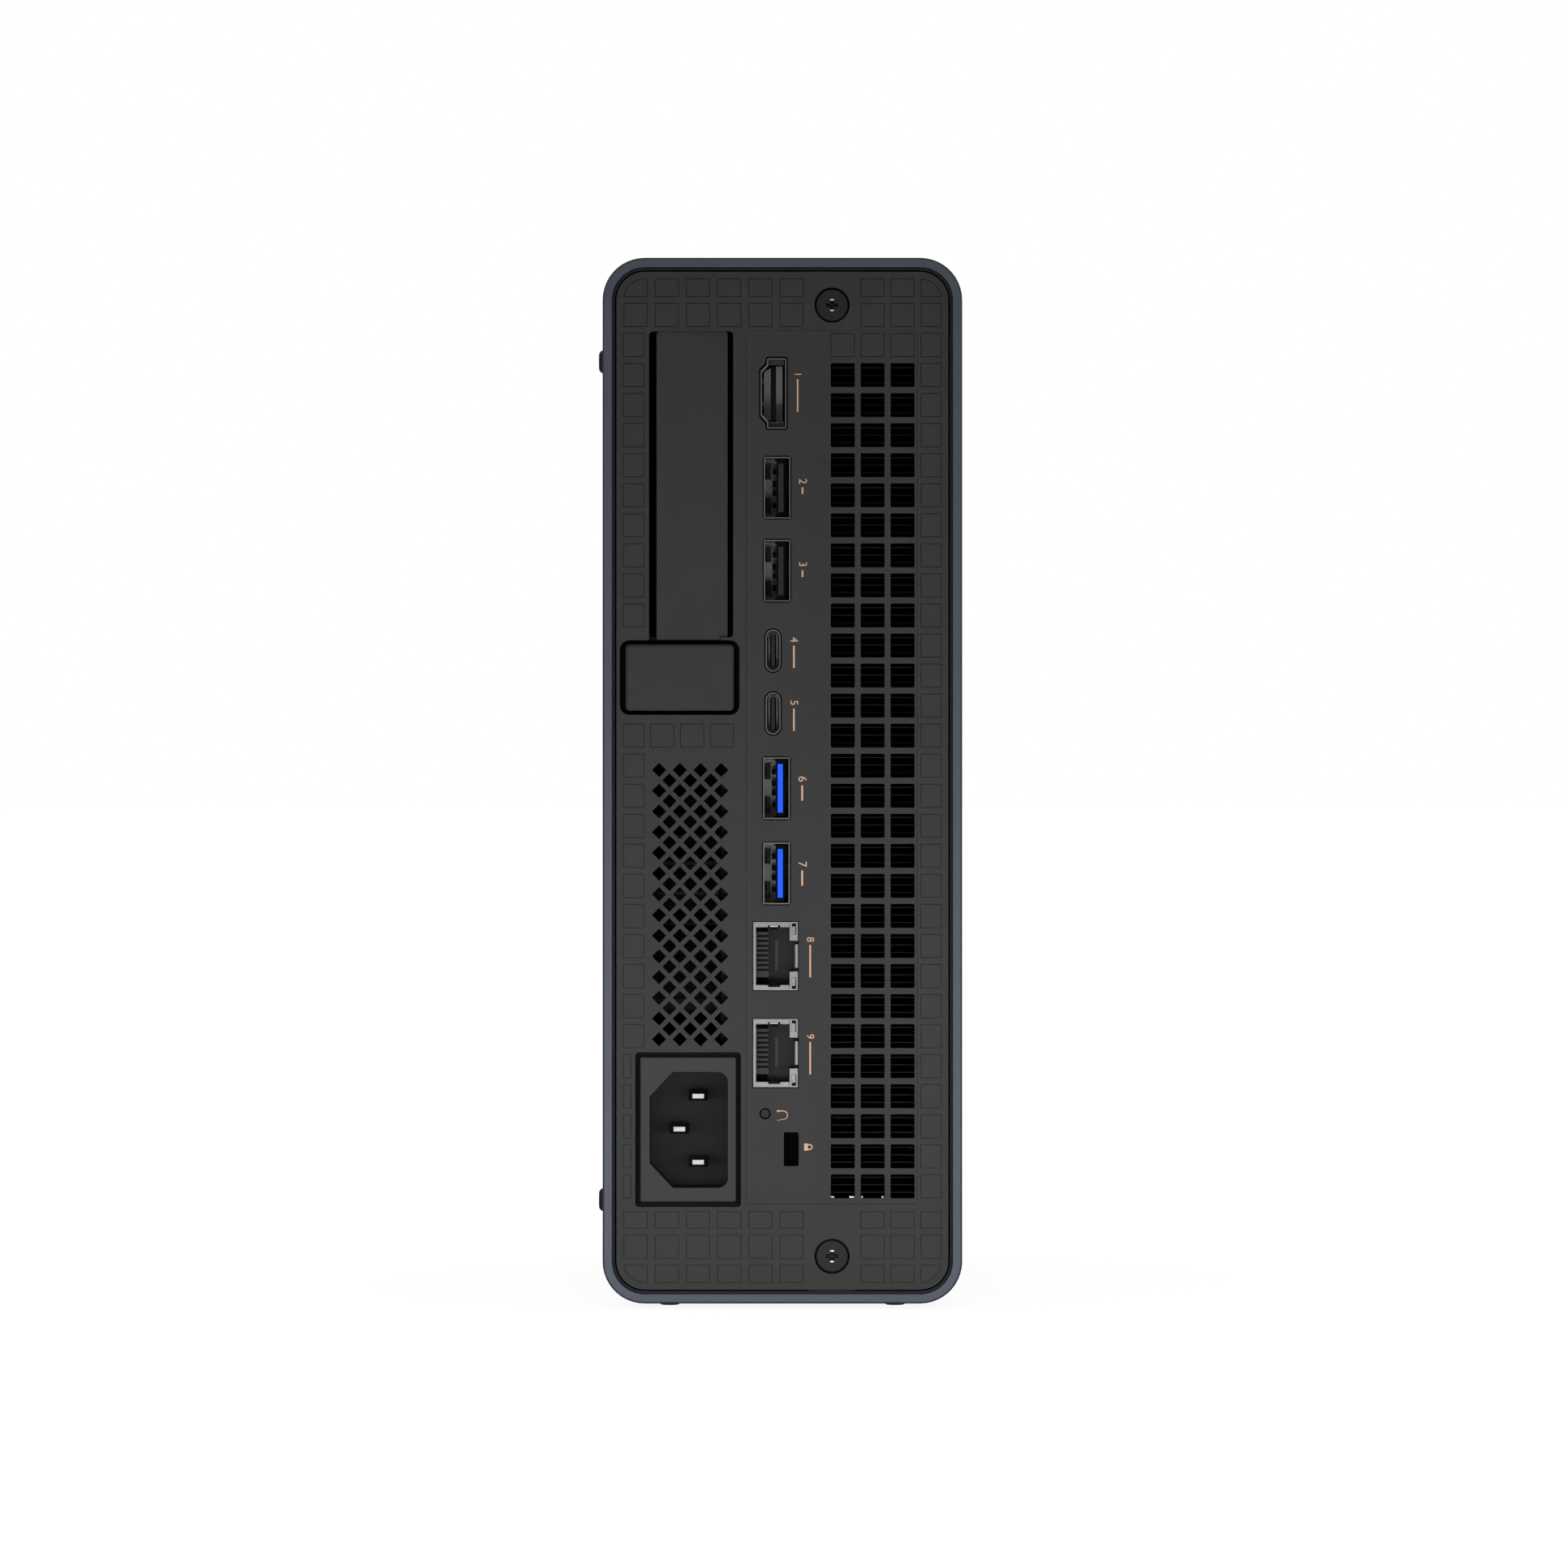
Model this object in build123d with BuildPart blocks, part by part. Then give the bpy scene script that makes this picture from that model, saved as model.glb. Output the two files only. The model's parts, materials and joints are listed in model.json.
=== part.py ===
"""Upright mini workstation: a plain sleeve on rubber feet, with a chassis that slides out of its rear end.

Millimetres. +Z is up, -Y is the rear face with the sockets, +X is to the right as that face is seen.
Places across the case are measured from the middle of the sleeve, and heights from the floor.
"""

import os

from build123d import *

os.makedirs("parts", exist_ok=True)

# Sleeve
shell_w = 76.0
shell_h = 221.0
shell_d = 206.0
shell_r = 8.9
rim_w = 1.95
ledge_w = 0.6
ledge_deep = 1.0
edge_break = 0.35

# Rubber feet
bottom_foot_d = 5.45
bottom_foot_proud = 1.2
bottom_foot_x = 24.0
side_foot_d = 5.25
side_foot_proud = 1.1
side_foot_in = 21.2
foot_end = 18.0
foot_round = 1.1
foot_taper = 25

# Clearances
slide_gap = 0.375
body_gap = 0.35
turn_gap = 0.05
fit_gap = 0.1
seam = 0.05

# Rear panel and the chassis frame behind it
panel_in = 1.0
panel_t = 2.0
bulkhead_t = 1.2
plate_t = 1.0
flange_h = 5.0

# Captive screws and the lugs that they bite
screw_x = 10.5
screw_off = 100.55
head_d = 6.75
head_t = 1.5
washer_t = 0.3
shank_d = 4.0
shank_len = 9.5
cross_l = 2.6
cross_w = 0.8
cross_deep = 1.1
lug_w = 10.0
lug_len = 8.0
lug_under = 4.2

# Square vents and the outlined tiles that carry on their pattern
cell = 5.08
cell_r = 0.35
row_top = 203.8
row_pitch = 6.352
vent_rows = 28
vent_x = 12.76
vent_pitch = 6.32
groove_w = 0.16
groove_deep = 0.15
edge_tile_w = 4.45
edge_tile_x = 31.45
sliver_w = 1.75
sliver_x = 32.8
border = 1.4
band_x = -31.04
band_pitch = 6.6
low_tile_h = 3.96
under_tile_h = 3.69

# I/O plate
io_left = -7.63
io_right = 28.55
io_low = 22.2
io_high = 206.9
io_r = 0.6

# Expansion slot
slot_left = -28.2
slot_right = -10.4
slot_low = 142.0
slot_high = 206.7
slot_r = 0.9
slot_lip_left = -13.1
cover_left = -26.6
cover_right = -11.6
cover_t = 0.9
cover_in = 0.7
cover_r = 0.7
cover_gap = 0.1
cover_tab = 11.4

# Release button in its pocket
pocket_x = -21.73
pocket_z = 133.5
pocket_w = 25.33
pocket_h = 15.8
pocket_r = 2.1
pocket_deep = 6.0
pocket_wall = 0.8
button_w = 22.9
button_h = 14.0
button_r = 0.9
button_t = 4.0
button_proud = 0.7
button_stroke = 2.0
stem_d = 4.0
stem_len = 8.5

# Diamond grille
grille_x = -19.5
grille_z = 85.5
diamond_half = 1.51
diamond_pitch = 4.378
diamond_rows = 27

# Mains inlet
inlet_x = -19.8
inlet_z = 37.85
flange_x = -19.93
flange_z = 37.95
recess_w = 22.35
recess_h = 32.7
recess_r = 0.8
inlet_w = 20.3
inlet_h = 30.6
inlet_r = 0.4
inlet_edge = 0.2
inlet_face_in = 0.4
cavity_w = 16.57
cavity_h = 24.54
cavity_r = 2.2
cavity_cut_x = 4.9
cavity_cut_z = 5.2
cavity_deep = 15.5
inlet_wall = 1.1
pin_w = 4.0
pin_t = 2.0
pin_in = 4.6
pin_tab = 6.0
pin_tip_w = 2.4
pin_tip_t = 0.95
pin_tip_len = 1.2
pin_spread = 7.0
pin_line = 1.95
pin_step = 4.0

# Sockets, by their middles
port_in = 0.7
can_t = 0.3
hdmi_x = -1.88
hdmi_z = 193.6
hdmi_w = 5.5
hdmi_l = 14.9
hdmi_r = 0.35
hdmi_cut_x = 1.35
hdmi_shoulder = 1.3
hdmi_slope = 1.4
hdmi_tongue_t = 1.07
hdmi_tongue_l = 11.15
hdmi_deep = 12.0
hdmi_gap = 0.3
usb2_x = -1.11
usb2_z = (173.65, 156.1)
usb3_x = -1.25
usb3_z = (110.1, 92.1)
usb_w = 5.7
usb_l = 13.1
usb_r = 0.5
usb_deep = 13.5
usb_gap = 0.22
tongue_t = 1.1
tongue_l = 10.3
tongue_up = 0.8
usb_c_x = -1.97
usb_c_z = (139.2, 125.9)
usb_c_w = 3.2
usb_c_l = 8.95
usb_c_deep = 9.0
usb_c_gap = 0.26
usb_c_tongue_t = 0.7
usb_c_tongue_l = 6.7
lan_x = -1.44
lan_z = (74.6, 54.1)
lan_w = 9.5
lan_l = 14.45
lan_deep = 21.0
lan_gap = 0.16
lan_can_t = 0.6
plug_w = 7.0
plug_l = 12.1
plug_deep = 14.0
latch_w = 1.0
latch_l = 6.4
lamp_w = 1.55
lamp_l = 3.7
lamp_rim = 0.2
wires = 8
wire_pitch = 1.02
wire_t = 0.4
reset_x = -3.64
reset_z = 41.3
reset_hole_d = 2.4
reset_d = 1.8
reset_in = 0.3
reset_len = 3.7
reset_stroke = 0.4
lock_x = 1.87
lock_z = 33.8
lock_w = 3.16
lock_h = 7.17
lock_plate_t = 1.5

# Main board
board_face_x = -5.1
board_t = 1.6
standoff_h = 1.0
board_low = 20.0
board_high = 204.0
board_front = 97.5
post_d = 5.5
screw_d = 2.9
bolt_y = (-70.0, 5.0, 80.0)
bolt_z = (28.0, 196.0)

# Cooler
chip_y = -28.0
chip_z = 112.0
chip_w = 45.0
chip_h = 37.0
chip_t = 1.2
die_w = 24.0
die_h = 18.0
die_t = 0.8
pipe_w = 8.0
pipe_t = 3.0
pipe_reach = 64.0
pipe_x = 4.3
spreader_t = 1.5
spreader_front = 14.0
fins_per_row = 4
fin_count = 111
fin_up = 1.74
fin_t = 0.2
fin_top_x = 29.0
fin_len = 25.0
blower_size = 86.0
blower_t = 19.5
blower_wall = 1.2

# Power supply
supply_top = 118.0
supply_front = 60.0
sheet_t = 0.8
supply_blower = 61.0
supply_blower_t = 22.0
supply_board_t = 1.6

# Card slot on its riser
riser_gap = 1.5
riser_t = 1.6
card_slot_w = 7.5
card_slot_h = 11.0
card_slot_l = 89.0
card_slot_x = -14.5
card_slot_y = 5.0

# Storage, radio and clock cell on the main board
ssd_w = 22.0
ssd_l = 80.0
ssd_t = 0.8
ssd_lift = 2.4
ssd_front = 83.0
ssd_z = (140.0, 165.0)
ssd_cap_t = 3.0
radio_l = 30.0
radio_z = 84.0
cell_d = 20.0
cell_t = 3.2

# Front end
front_fit = 0.1
front_x = -1.4
front_usb_z = 150.0
front_c_z = (132.0, 119.0)
audio_z = 106.0
audio_d = 6.0
power_x = 0.0
power_z = 196.0
power_d = 10.0
power_ring_w = 1.0
power_proud = 0.6
power_flange = 1.0
power_stroke = 0.6

# What follows from them
mid_x = side_foot_proud / 2
mid_z = bottom_foot_proud + shell_h / 2
wall = rim_w + ledge_w
bore_w = shell_w - 2 * wall
bore_h = shell_h - 2 * wall
bore_r = shell_r - wall
bore_high = mid_z + bore_h / 2
panel_w = bore_w - 2 * slide_gap
panel_h = bore_h - 2 * slide_gap
panel_r = bore_r - slide_gap
front_y = shell_d / 2
rear_y = -shell_d / 2
face_y = rear_y + panel_in
back_y = face_y + panel_t
inner_y = back_y + bulkhead_t
port_y = face_y + port_in
pocket_high = pocket_z + pocket_h / 2
board_back_x = board_face_x - board_t
tray_x = board_back_x - standoff_h
supply_right = tray_x - plate_t
frame_half = panel_w / 2 - 0.4
frame_high = mid_z + screw_off - lug_under - body_gap
frame_low = 2 * mid_z - frame_high
bay_high = frame_high - plate_t
bay_low = frame_low + plate_t
supply_left = -frame_half
spreader_x = pipe_x + pipe_t
blower_x = spreader_x + spreader_t
fins_rear = inner_y + 1.0
fins_front = fins_rear + fin_len
fin_pitch = row_pitch / fins_per_row
fin_span = (fin_count - 1) * fin_pitch
fin_low = row_top - row_pitch + fin_up - fin_span


def rear_plane(y):
    """A plane across the case at this depth, facing the rear: its axes are across and up."""
    return Plane(origin=(mid_x, y, 0), x_dir=(1, 0, 0), z_dir=(0, -1, 0))


def side_plane(x):
    """A plane along the case at this distance from the middle, facing right: its axes are depth and up."""
    return Plane(origin=(mid_x + x, 0, 0), x_dir=(0, 1, 0), z_dir=(1, 0, 0))


def level_plane(z):
    """A level plane at this height: its axes are across and depth."""
    return Plane(origin=(mid_x, 0, z))


def block(x, y, z, mode=Mode.ADD):
    """A plain block between the two places given along each axis."""
    with Locations((mid_x + sum(x) / 2, sum(y) / 2, sum(z) / 2)):
        Box(x[1] - x[0], y[1] - y[0], z[1] - z[0], mode=mode)


def rod_y(x, z, y, d, mode=Mode.ADD):
    """A round rod along the depth of the case."""
    with Locations((mid_x + x, sum(y) / 2, z)):
        Cylinder(d / 2, y[1] - y[0], rotation=(90, 0, 0), mode=mode)


def rod_x(x, y, z, d, mode=Mode.ADD):
    """A round rod across the case."""
    with Locations((mid_x + sum(x) / 2, y, z)):
        Cylinder(d / 2, x[1] - x[0], rotation=(0, 90, 0), mode=mode)


def about(middle, size):
    """The two ends of a stretch of this size about its middle."""
    return middle - size / 2, middle + size / 2


# ---------------------------------------------------------------- sleeve

with BuildPart() as outer_shell:
    with BuildSketch(rear_plane(front_y)):
        with Locations((0, mid_z)):
            RectangleRounded(shell_w, shell_h, shell_r)
            RectangleRounded(bore_w, bore_h, bore_r, mode=Mode.SUBTRACT)
    extrude(amount=shell_d)
    for ledge_y in (front_y, rear_y + ledge_deep):
        with BuildSketch(rear_plane(ledge_y)):
            with Locations((0, mid_z)):
                RectangleRounded(shell_w - 2 * rim_w, shell_h - 2 * rim_w, shell_r - rim_w)
        extrude(amount=ledge_deep, mode=Mode.SUBTRACT)
    rims = [outer_shell.faces().sort_by(Axis.Y)[end] for end in (0, -1)]
    chamfer([edge for rim in rims for edge in rim.outer_wire().edges()], length=edge_break)
outer_shell.part.label = "outer_shell"
export_step(outer_shell.part, "parts/outer_shell.step")

with BuildPart() as bottom_feet:
    with BuildSketch(level_plane(bottom_foot_proud)):
        with GridLocations(2 * bottom_foot_x, shell_d - 2 * foot_end, 2, 2):
            Circle(bottom_foot_d / 2)
    extrude(amount=-bottom_foot_proud, taper=foot_taper)
    fillet(bottom_feet.edges().group_by(Axis.Z)[0], radius=foot_round)
bottom_feet.part.label = "bottom_feet"
export_step(bottom_feet.part, "parts/bottom_feet.step")

with BuildPart() as side_feet:
    with BuildSketch(side_plane(-shell_w / 2)):
        with Locations((0, mid_z)):
            with GridLocations(shell_d - 2 * foot_end, shell_h - 2 * side_foot_in, 2, 2):
                Circle(side_foot_d / 2)
    extrude(amount=-side_foot_proud, taper=foot_taper)
    fillet(side_feet.edges().group_by(Axis.X)[0], radius=foot_round)
side_feet.part.label = "side_feet"
export_step(side_feet.part, "parts/side_feet.step")

# The two lugs stand on the sleeve's inner walls just behind the chassis bulkhead.
lug_y = (inner_y + body_gap, inner_y + body_gap + lug_len)
screw_z = {"top": mid_z + screw_off, "bottom": mid_z - screw_off}
with BuildPart() as screw_lugs:
    block(about(screw_x, lug_w), lug_y, (screw_z["top"] - lug_under, bore_high))
    block(about(screw_x, lug_w), lug_y, (2 * mid_z - bore_high, screw_z["bottom"] + lug_under))
    for z in screw_z.values():
        rod_y(screw_x, z, lug_y, shank_d + 2 * turn_gap, mode=Mode.SUBTRACT)
screw_lugs.part.label = "screw_lugs"
export_step(screw_lugs.part, "parts/screw_lugs.step")

# ---------------------------------------------------------------- captive screws

washer_y = (back_y - washer_t, back_y)
head_y = (washer_y[0] - head_t, washer_y[0])
for end, z in screw_z.items():
    with BuildPart() as washer:
        rod_y(screw_x, z, washer_y, head_d - 0.5)
        rod_y(screw_x, z, washer_y, shank_d + 2 * turn_gap, mode=Mode.SUBTRACT)
    washer.part.label = f"{end}_washer"
    export_step(washer.part, f"parts/{end}_washer.step")
    with BuildPart() as screw:
        rod_y(screw_x, z, head_y, head_d)
        fillet(screw.edges().group_by(Axis.Y)[0], radius=0.3)
        rod_y(screw_x, z, (head_y[1], head_y[1] + shank_len), shank_d)
        chamfer(screw.edges().group_by(Axis.Y)[-1], length=0.5)
        with BuildSketch(rear_plane(head_y[0])):
            with Locations((screw_x, z)):
                Rectangle(cross_l, cross_w)
                Rectangle(cross_w, cross_l)
        extrude(amount=-cross_deep, taper=12, mode=Mode.SUBTRACT)
    screw.part.label = f"{end}_screw"
    export_step(screw.part, f"parts/{end}_screw.step")

# ---------------------------------------------------------------- rear panel

rows = [row_top - row_pitch * k for k in range(vent_rows + 1)]
vent_columns = [vent_x + vent_pitch * k for k in range(3)]
band_columns = [band_x + band_pitch * k for k in range(6)]
top_bands = ((215.9, low_tile_h), (210.15, cell))
bottom_bands = ((18.85, under_tile_h), (13.15, cell), (7.37, low_tile_h))

# Each tile is its middle, its width and its height.
tiles = [(edge_tile_x, z, edge_tile_w, cell) for z in rows]
tiles += [(-edge_tile_x, z, edge_tile_w, cell) for z in rows[:10] + rows[13:24]]
tiles += [(-sliver_x, z, sliver_w, cell) for z in rows[24:]]
tiles += [(-vent_columns[2] + vent_pitch * k, rows[13], cell, cell) for k in range(3)]
for z, h in top_bands + bottom_bands:
    tiles += [(x, z, cell, h) for x in band_columns + vent_columns[1:]]
    tiles += [(edge_tile_x, z, edge_tile_w, h)]


def tile_outlines(places, shrink):
    """The outlines of these tiles, brought in by so much all round and clipped to the panel's border."""
    for size in sorted({place[2:] for place in places}):
        with Locations(*[place[:2] for place in places if place[2:] == size]):
            Rectangle(size[0] - 2 * shrink, size[1] - 2 * shrink)
    inset = 2 * (border + shrink)
    with Locations((0, mid_z)):
        RectangleRounded(panel_w - inset, panel_h - inset, panel_r - inset / 2, mode=Mode.INTERSECT)


def grille_points():
    """The middles of the diamonds: rows of four and three in turn."""
    points = []
    for row in range(diamond_rows):
        count = 4 - row % 2
        z = grille_z + (row - (diamond_rows - 1) / 2) * diamond_pitch / 2
        points += [(grille_x + (k - (count - 1) / 2) * diamond_pitch, z) for k in range(count)]
    return points


io_w = io_right - io_left
io_h = io_high - io_low
io_middle = ((io_left + io_right) / 2, (io_low + io_high) / 2)
slot_middle = ((slot_left + slot_right) / 2, (slot_low + slot_high) / 2)
slot_size = (slot_right - slot_left, slot_high - slot_low)

with BuildSketch(rear_plane(face_y)) as panel_tile_cores:
    tile_outlines(tiles, groove_w)
with BuildPart() as rear_panel:
    with BuildSketch(rear_plane(back_y)):
        with Locations((0, mid_z)):
            RectangleRounded(panel_w, panel_h, panel_r)
        with Locations(io_middle):
            RectangleRounded(io_w, io_h, io_r, mode=Mode.SUBTRACT)
        with Locations(slot_middle):
            RectangleRounded(*slot_size, slot_r, mode=Mode.SUBTRACT)
        with Locations(((slot_left + slot_lip_left) / 2, slot_low)):
            Rectangle(slot_lip_left - slot_left, 2 * (slot_low - pocket_high), mode=Mode.SUBTRACT)
        with Locations((pocket_x, pocket_z)):
            RectangleRounded(pocket_w, pocket_h, pocket_r, mode=Mode.SUBTRACT)
        with Locations((flange_x, flange_z)):
            RectangleRounded(recess_w, recess_h, recess_r, mode=Mode.SUBTRACT)
        with Locations(*[(screw_x, z) for z in screw_z.values()]):
            Circle(head_d / 2 + body_gap, mode=Mode.SUBTRACT)
        with Locations(*grille_points()):
            Rectangle(diamond_half * 2**0.5, diamond_half * 2**0.5, rotation=45, mode=Mode.SUBTRACT)
    extrude(amount=panel_t)
    with BuildSketch(rear_plane(face_y)):
        tile_outlines(tiles, 0)
        add(panel_tile_cores.sketch_local, mode=Mode.SUBTRACT)
    extrude(amount=-groove_deep, mode=Mode.SUBTRACT)
rear_panel.part.label = "rear_panel"
export_step(rear_panel.part, "parts/rear_panel.step")

# ---------------------------------------------------------------- I/O plate


def hdmi_outline(grow):
    """The socket's outline: a bar that steps and slopes in at both ends of its side next to the board."""
    w = hdmi_w / 2 + grow
    h = hdmi_l / 2 + grow
    shoulder = h - hdmi_shoulder
    corners = [(w, h), (hdmi_cut_x - w, h), (hdmi_cut_x - w, shoulder), (-w, shoulder - hdmi_slope)]
    mirrored = [(x, -z) for x, z in reversed(corners)]
    with BuildSketch(Plane.XY) as outline:
        Polygon(*corners, *mirrored, align=None)
        fillet(outline.vertices(), radius=hdmi_r + grow)
    return outline.sketch_local


with BuildPart() as io_plate:
    with BuildSketch(rear_plane(back_y)):
        with Locations(io_middle):
            RectangleRounded(io_w - 2 * seam, io_h - 2 * seam, io_r)
        with Locations(*[(x, z) for x in vent_columns for z in rows[1:]]):
            RectangleRounded(cell, cell, cell_r, mode=Mode.SUBTRACT)
        with Locations((hdmi_x, hdmi_z)):
            add(hdmi_outline(hdmi_gap), mode=Mode.SUBTRACT)
        with Locations(*[(usb2_x, z) for z in usb2_z], *[(usb3_x, z) for z in usb3_z]):
            RectangleRounded(usb_w + 2 * usb_gap, usb_l + 2 * usb_gap, usb_r + usb_gap, mode=Mode.SUBTRACT)
        with Locations(*[(usb_c_x, z) for z in usb_c_z]):
            SlotOverall(usb_c_l + 2 * usb_c_gap, usb_c_w + 2 * usb_c_gap, rotation=90, mode=Mode.SUBTRACT)
        with Locations(*[(lan_x, z) for z in lan_z]):
            Rectangle(lan_w + 2 * lan_gap, lan_l + 2 * lan_gap, mode=Mode.SUBTRACT)
        with Locations((reset_x, reset_z)):
            Circle(reset_hole_d / 2, mode=Mode.SUBTRACT)
        with Locations((lock_x, lock_z)):
            RectangleRounded(lock_w, lock_h, cell_r, mode=Mode.SUBTRACT)
    extrude(amount=panel_t)
    with BuildSketch(rear_plane(face_y)):
        with Locations(*[(x, rows[0]) for x in vent_columns]):
            Rectangle(cell, cell)
            Rectangle(cell - 2 * groove_w, cell - 2 * groove_w, mode=Mode.SUBTRACT)
    extrude(amount=-groove_deep, mode=Mode.SUBTRACT)
io_plate.part.label = "io_plate"
export_step(io_plate.part, "parts/io_plate.step")

# ---------------------------------------------------------------- chassis frame

cutout_gap = 0.5
ports_left = lan_x - lan_w / 2 - cutout_gap
ports_right = lan_x + lan_w / 2 + cutout_gap
ports_low = lock_z - lock_h / 2 - cutout_gap
ports_high = hdmi_z + hdmi_l / 2 + cutout_gap
vents_left = vent_columns[0] - cell / 2 - cutout_gap
vents_right = vent_columns[2] + cell / 2 + 0.25
vents_low = rows[-1] - cell / 2 - cutout_gap
vents_high = rows[1] + cell / 2 + cutout_gap
inlet_body_w = cavity_w + 2 * inlet_wall
inlet_body_h = cavity_h + 2 * inlet_wall
grille_half_w = 1.5 * diamond_pitch + diamond_half + cutout_gap
grille_half_h = (diamond_rows - 1) / 4 * diamond_pitch + diamond_half + cutout_gap
tray_y = (inner_y, board_front)
cover_y = (face_y + cover_in, face_y + cover_in + cover_t)
cover_screw_x = (cover_left + cover_right) / 2
cover_screw_y = inner_y + cover_tab / 2
chip_window = 50.0

with BuildPart() as bulkhead:
    with BuildSketch(rear_plane(inner_y)):
        with Locations((0, mid_z)):
            RectangleRounded(panel_w - 0.8, panel_h - 0.8, panel_r - 0.4)
        with Locations(slot_middle):
            RectangleRounded(*slot_size, slot_r, mode=Mode.SUBTRACT)
        with Locations((pocket_x, pocket_z)):
            RectangleRounded(pocket_w, pocket_h, pocket_r, mode=Mode.SUBTRACT)
        with Locations((inlet_x, inlet_z)):
            Rectangle(inlet_body_w + 2 * fit_gap, inlet_body_h + 2 * fit_gap, mode=Mode.SUBTRACT)
        with Locations((grille_x, grille_z)):
            Rectangle(2 * grille_half_w, 2 * grille_half_h, mode=Mode.SUBTRACT)
        with Locations(((ports_left + ports_right) / 2, (ports_low + ports_high) / 2)):
            Rectangle(ports_right - ports_left, ports_high - ports_low, mode=Mode.SUBTRACT)
        with Locations(((vents_left + vents_right) / 2, (vents_low + vents_high) / 2)):
            Rectangle(vents_right - vents_left, vents_high - vents_low, mode=Mode.SUBTRACT)
        with Locations(*[(screw_x, z) for z in screw_z.values()]):
            Circle(shank_d / 2 + body_gap, mode=Mode.SUBTRACT)
    extrude(amount=bulkhead_t)
bulkhead.part.label = "bulkhead"
export_step(bulkhead.part, "parts/bulkhead.step")

# The roof and floor of the chassis, each with its two long edges folded outward.
with BuildPart() as frame_plates:
    block((-frame_half, frame_half), tray_y, (bay_high, frame_high))
    block((-frame_half, frame_half), tray_y, (frame_low, bay_low))
    for x in (about(plate_t / 2 - frame_half, plate_t), about(frame_half - plate_t / 2, plate_t)):
        block(x, tray_y, (frame_high, frame_high + flange_h))
        block(x, tray_y, (frame_low - flange_h, frame_low))
    with Locations((mid_x + cover_screw_x, cover_screw_y, (bay_high + frame_high) / 2)):
        Cylinder(screw_d / 2, plate_t, mode=Mode.SUBTRACT)
frame_plates.part.label = "frame_plates"
export_step(frame_plates.part, "parts/frame_plates.step")

with BuildPart() as board_tray:
    block((supply_right, tray_x), tray_y, (bay_low, bay_high))
    block((supply_right, tray_x), about(chip_y, chip_window), about(chip_z, chip_window), mode=Mode.SUBTRACT)
    for y in bolt_y:
        for z in bolt_z:
            rod_x((tray_x, board_back_x), y, z, post_d)
            rod_x((supply_right, board_back_x), y, z, screw_d, mode=Mode.SUBTRACT)
board_tray.part.label = "board_tray"
export_step(board_tray.part, "parts/board_tray.step")

# ---------------------------------------------------------------- expansion slot

cover_low = pocket_high + cover_gap
with BuildPart() as slot_cover:
    block((cover_left, cover_right), cover_y, (cover_low, bay_high))
    lip = (slot_lip_left - cover_gap, cover_right)
    block(lip, cover_y, (cover_low, slot_low + cover_gap), mode=Mode.SUBTRACT)
    block((cover_left, cover_right), (cover_y[0], inner_y + cover_tab), (bay_high - cover_t, bay_high))
    front_corners = slot_cover.edges().filter_by(Axis.Y).group_by(Axis.Z)[-1]
    fillet(front_corners, radius=cover_r)
    with Locations((mid_x + cover_screw_x, cover_screw_y, bay_high - cover_t / 2)):
        Cylinder(screw_d / 2, cover_t, mode=Mode.SUBTRACT)
slot_cover.part.label = "slot_cover"
export_step(slot_cover.part, "parts/slot_cover.step")

with BuildPart() as slot_screw:
    with BuildSketch(Plane.XY.offset(bay_high - cover_t - 2.0)):
        with Locations((mid_x + cover_screw_x, cover_screw_y)):
            Circle(screw_d / 2)
    extrude(amount=2.0 + cover_t + plate_t)
    with BuildSketch(Plane.XY.offset(frame_high)):
        with Locations((mid_x + cover_screw_x, cover_screw_y)):
            RegularPolygon(radius=3.6, side_count=6)
    extrude(amount=2.2)
slot_screw.part.label = "slot_screw"
export_step(slot_screw.part, "parts/slot_screw.step")

# ---------------------------------------------------------------- release button

pocket_outer_w = pocket_w + 0.4
pocket_outer_h = pocket_h + 2 * pocket_wall
pocket_end = inner_y + pocket_deep
with BuildPart() as button_pocket:
    with BuildSketch(rear_plane(pocket_end)):
        with Locations((pocket_x, pocket_z)):
            RectangleRounded(pocket_outer_w, pocket_outer_h, pocket_r)
    extrude(amount=pocket_deep)
    with BuildSketch(rear_plane(pocket_end - pocket_wall)):
        with Locations((pocket_x, pocket_z)):
            RectangleRounded(pocket_w - 2 * pocket_wall, pocket_h - 0.6, pocket_r)
    extrude(amount=pocket_deep - pocket_wall, mode=Mode.SUBTRACT)
    rod_y(pocket_x, pocket_z, (pocket_end - pocket_wall, pocket_end + 2.0), stem_d + 2 * body_gap + 2.0)
    rod_y(pocket_x, pocket_z, (pocket_end - 2.0, pocket_end + 2.0), stem_d + 2 * body_gap, mode=Mode.SUBTRACT)
button_pocket.part.label = "button_pocket"
export_step(button_pocket.part, "parts/button_pocket.step")

button_y = face_y - button_proud
with BuildPart() as release_button:
    with BuildSketch(rear_plane(button_y + button_t)):
        with Locations((pocket_x, pocket_z)):
            RectangleRounded(button_w, button_h, button_r)
    extrude(amount=button_t)
    chamfer(release_button.faces().sort_by(Axis.Y)[0].outer_wire().edges(), length=0.5)
    rod_y(pocket_x, pocket_z, (button_y + button_t, button_y + button_t + stem_len), stem_d)
release_button.part.label = "release_button"
export_step(release_button.part, "parts/release_button.step")

# ---------------------------------------------------------------- mains inlet

inlet_y = face_y + inlet_face_in
inlet_floor = inlet_y + cavity_deep
inlet_end = inlet_floor + 2.0
pin_y = inlet_y + pin_in
pins = [(inlet_x + pin_line, inlet_z + pin_spread), (inlet_x + pin_line - pin_step, inlet_z)]
pins += [(inlet_x + pin_line, inlet_z - pin_spread)]


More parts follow.
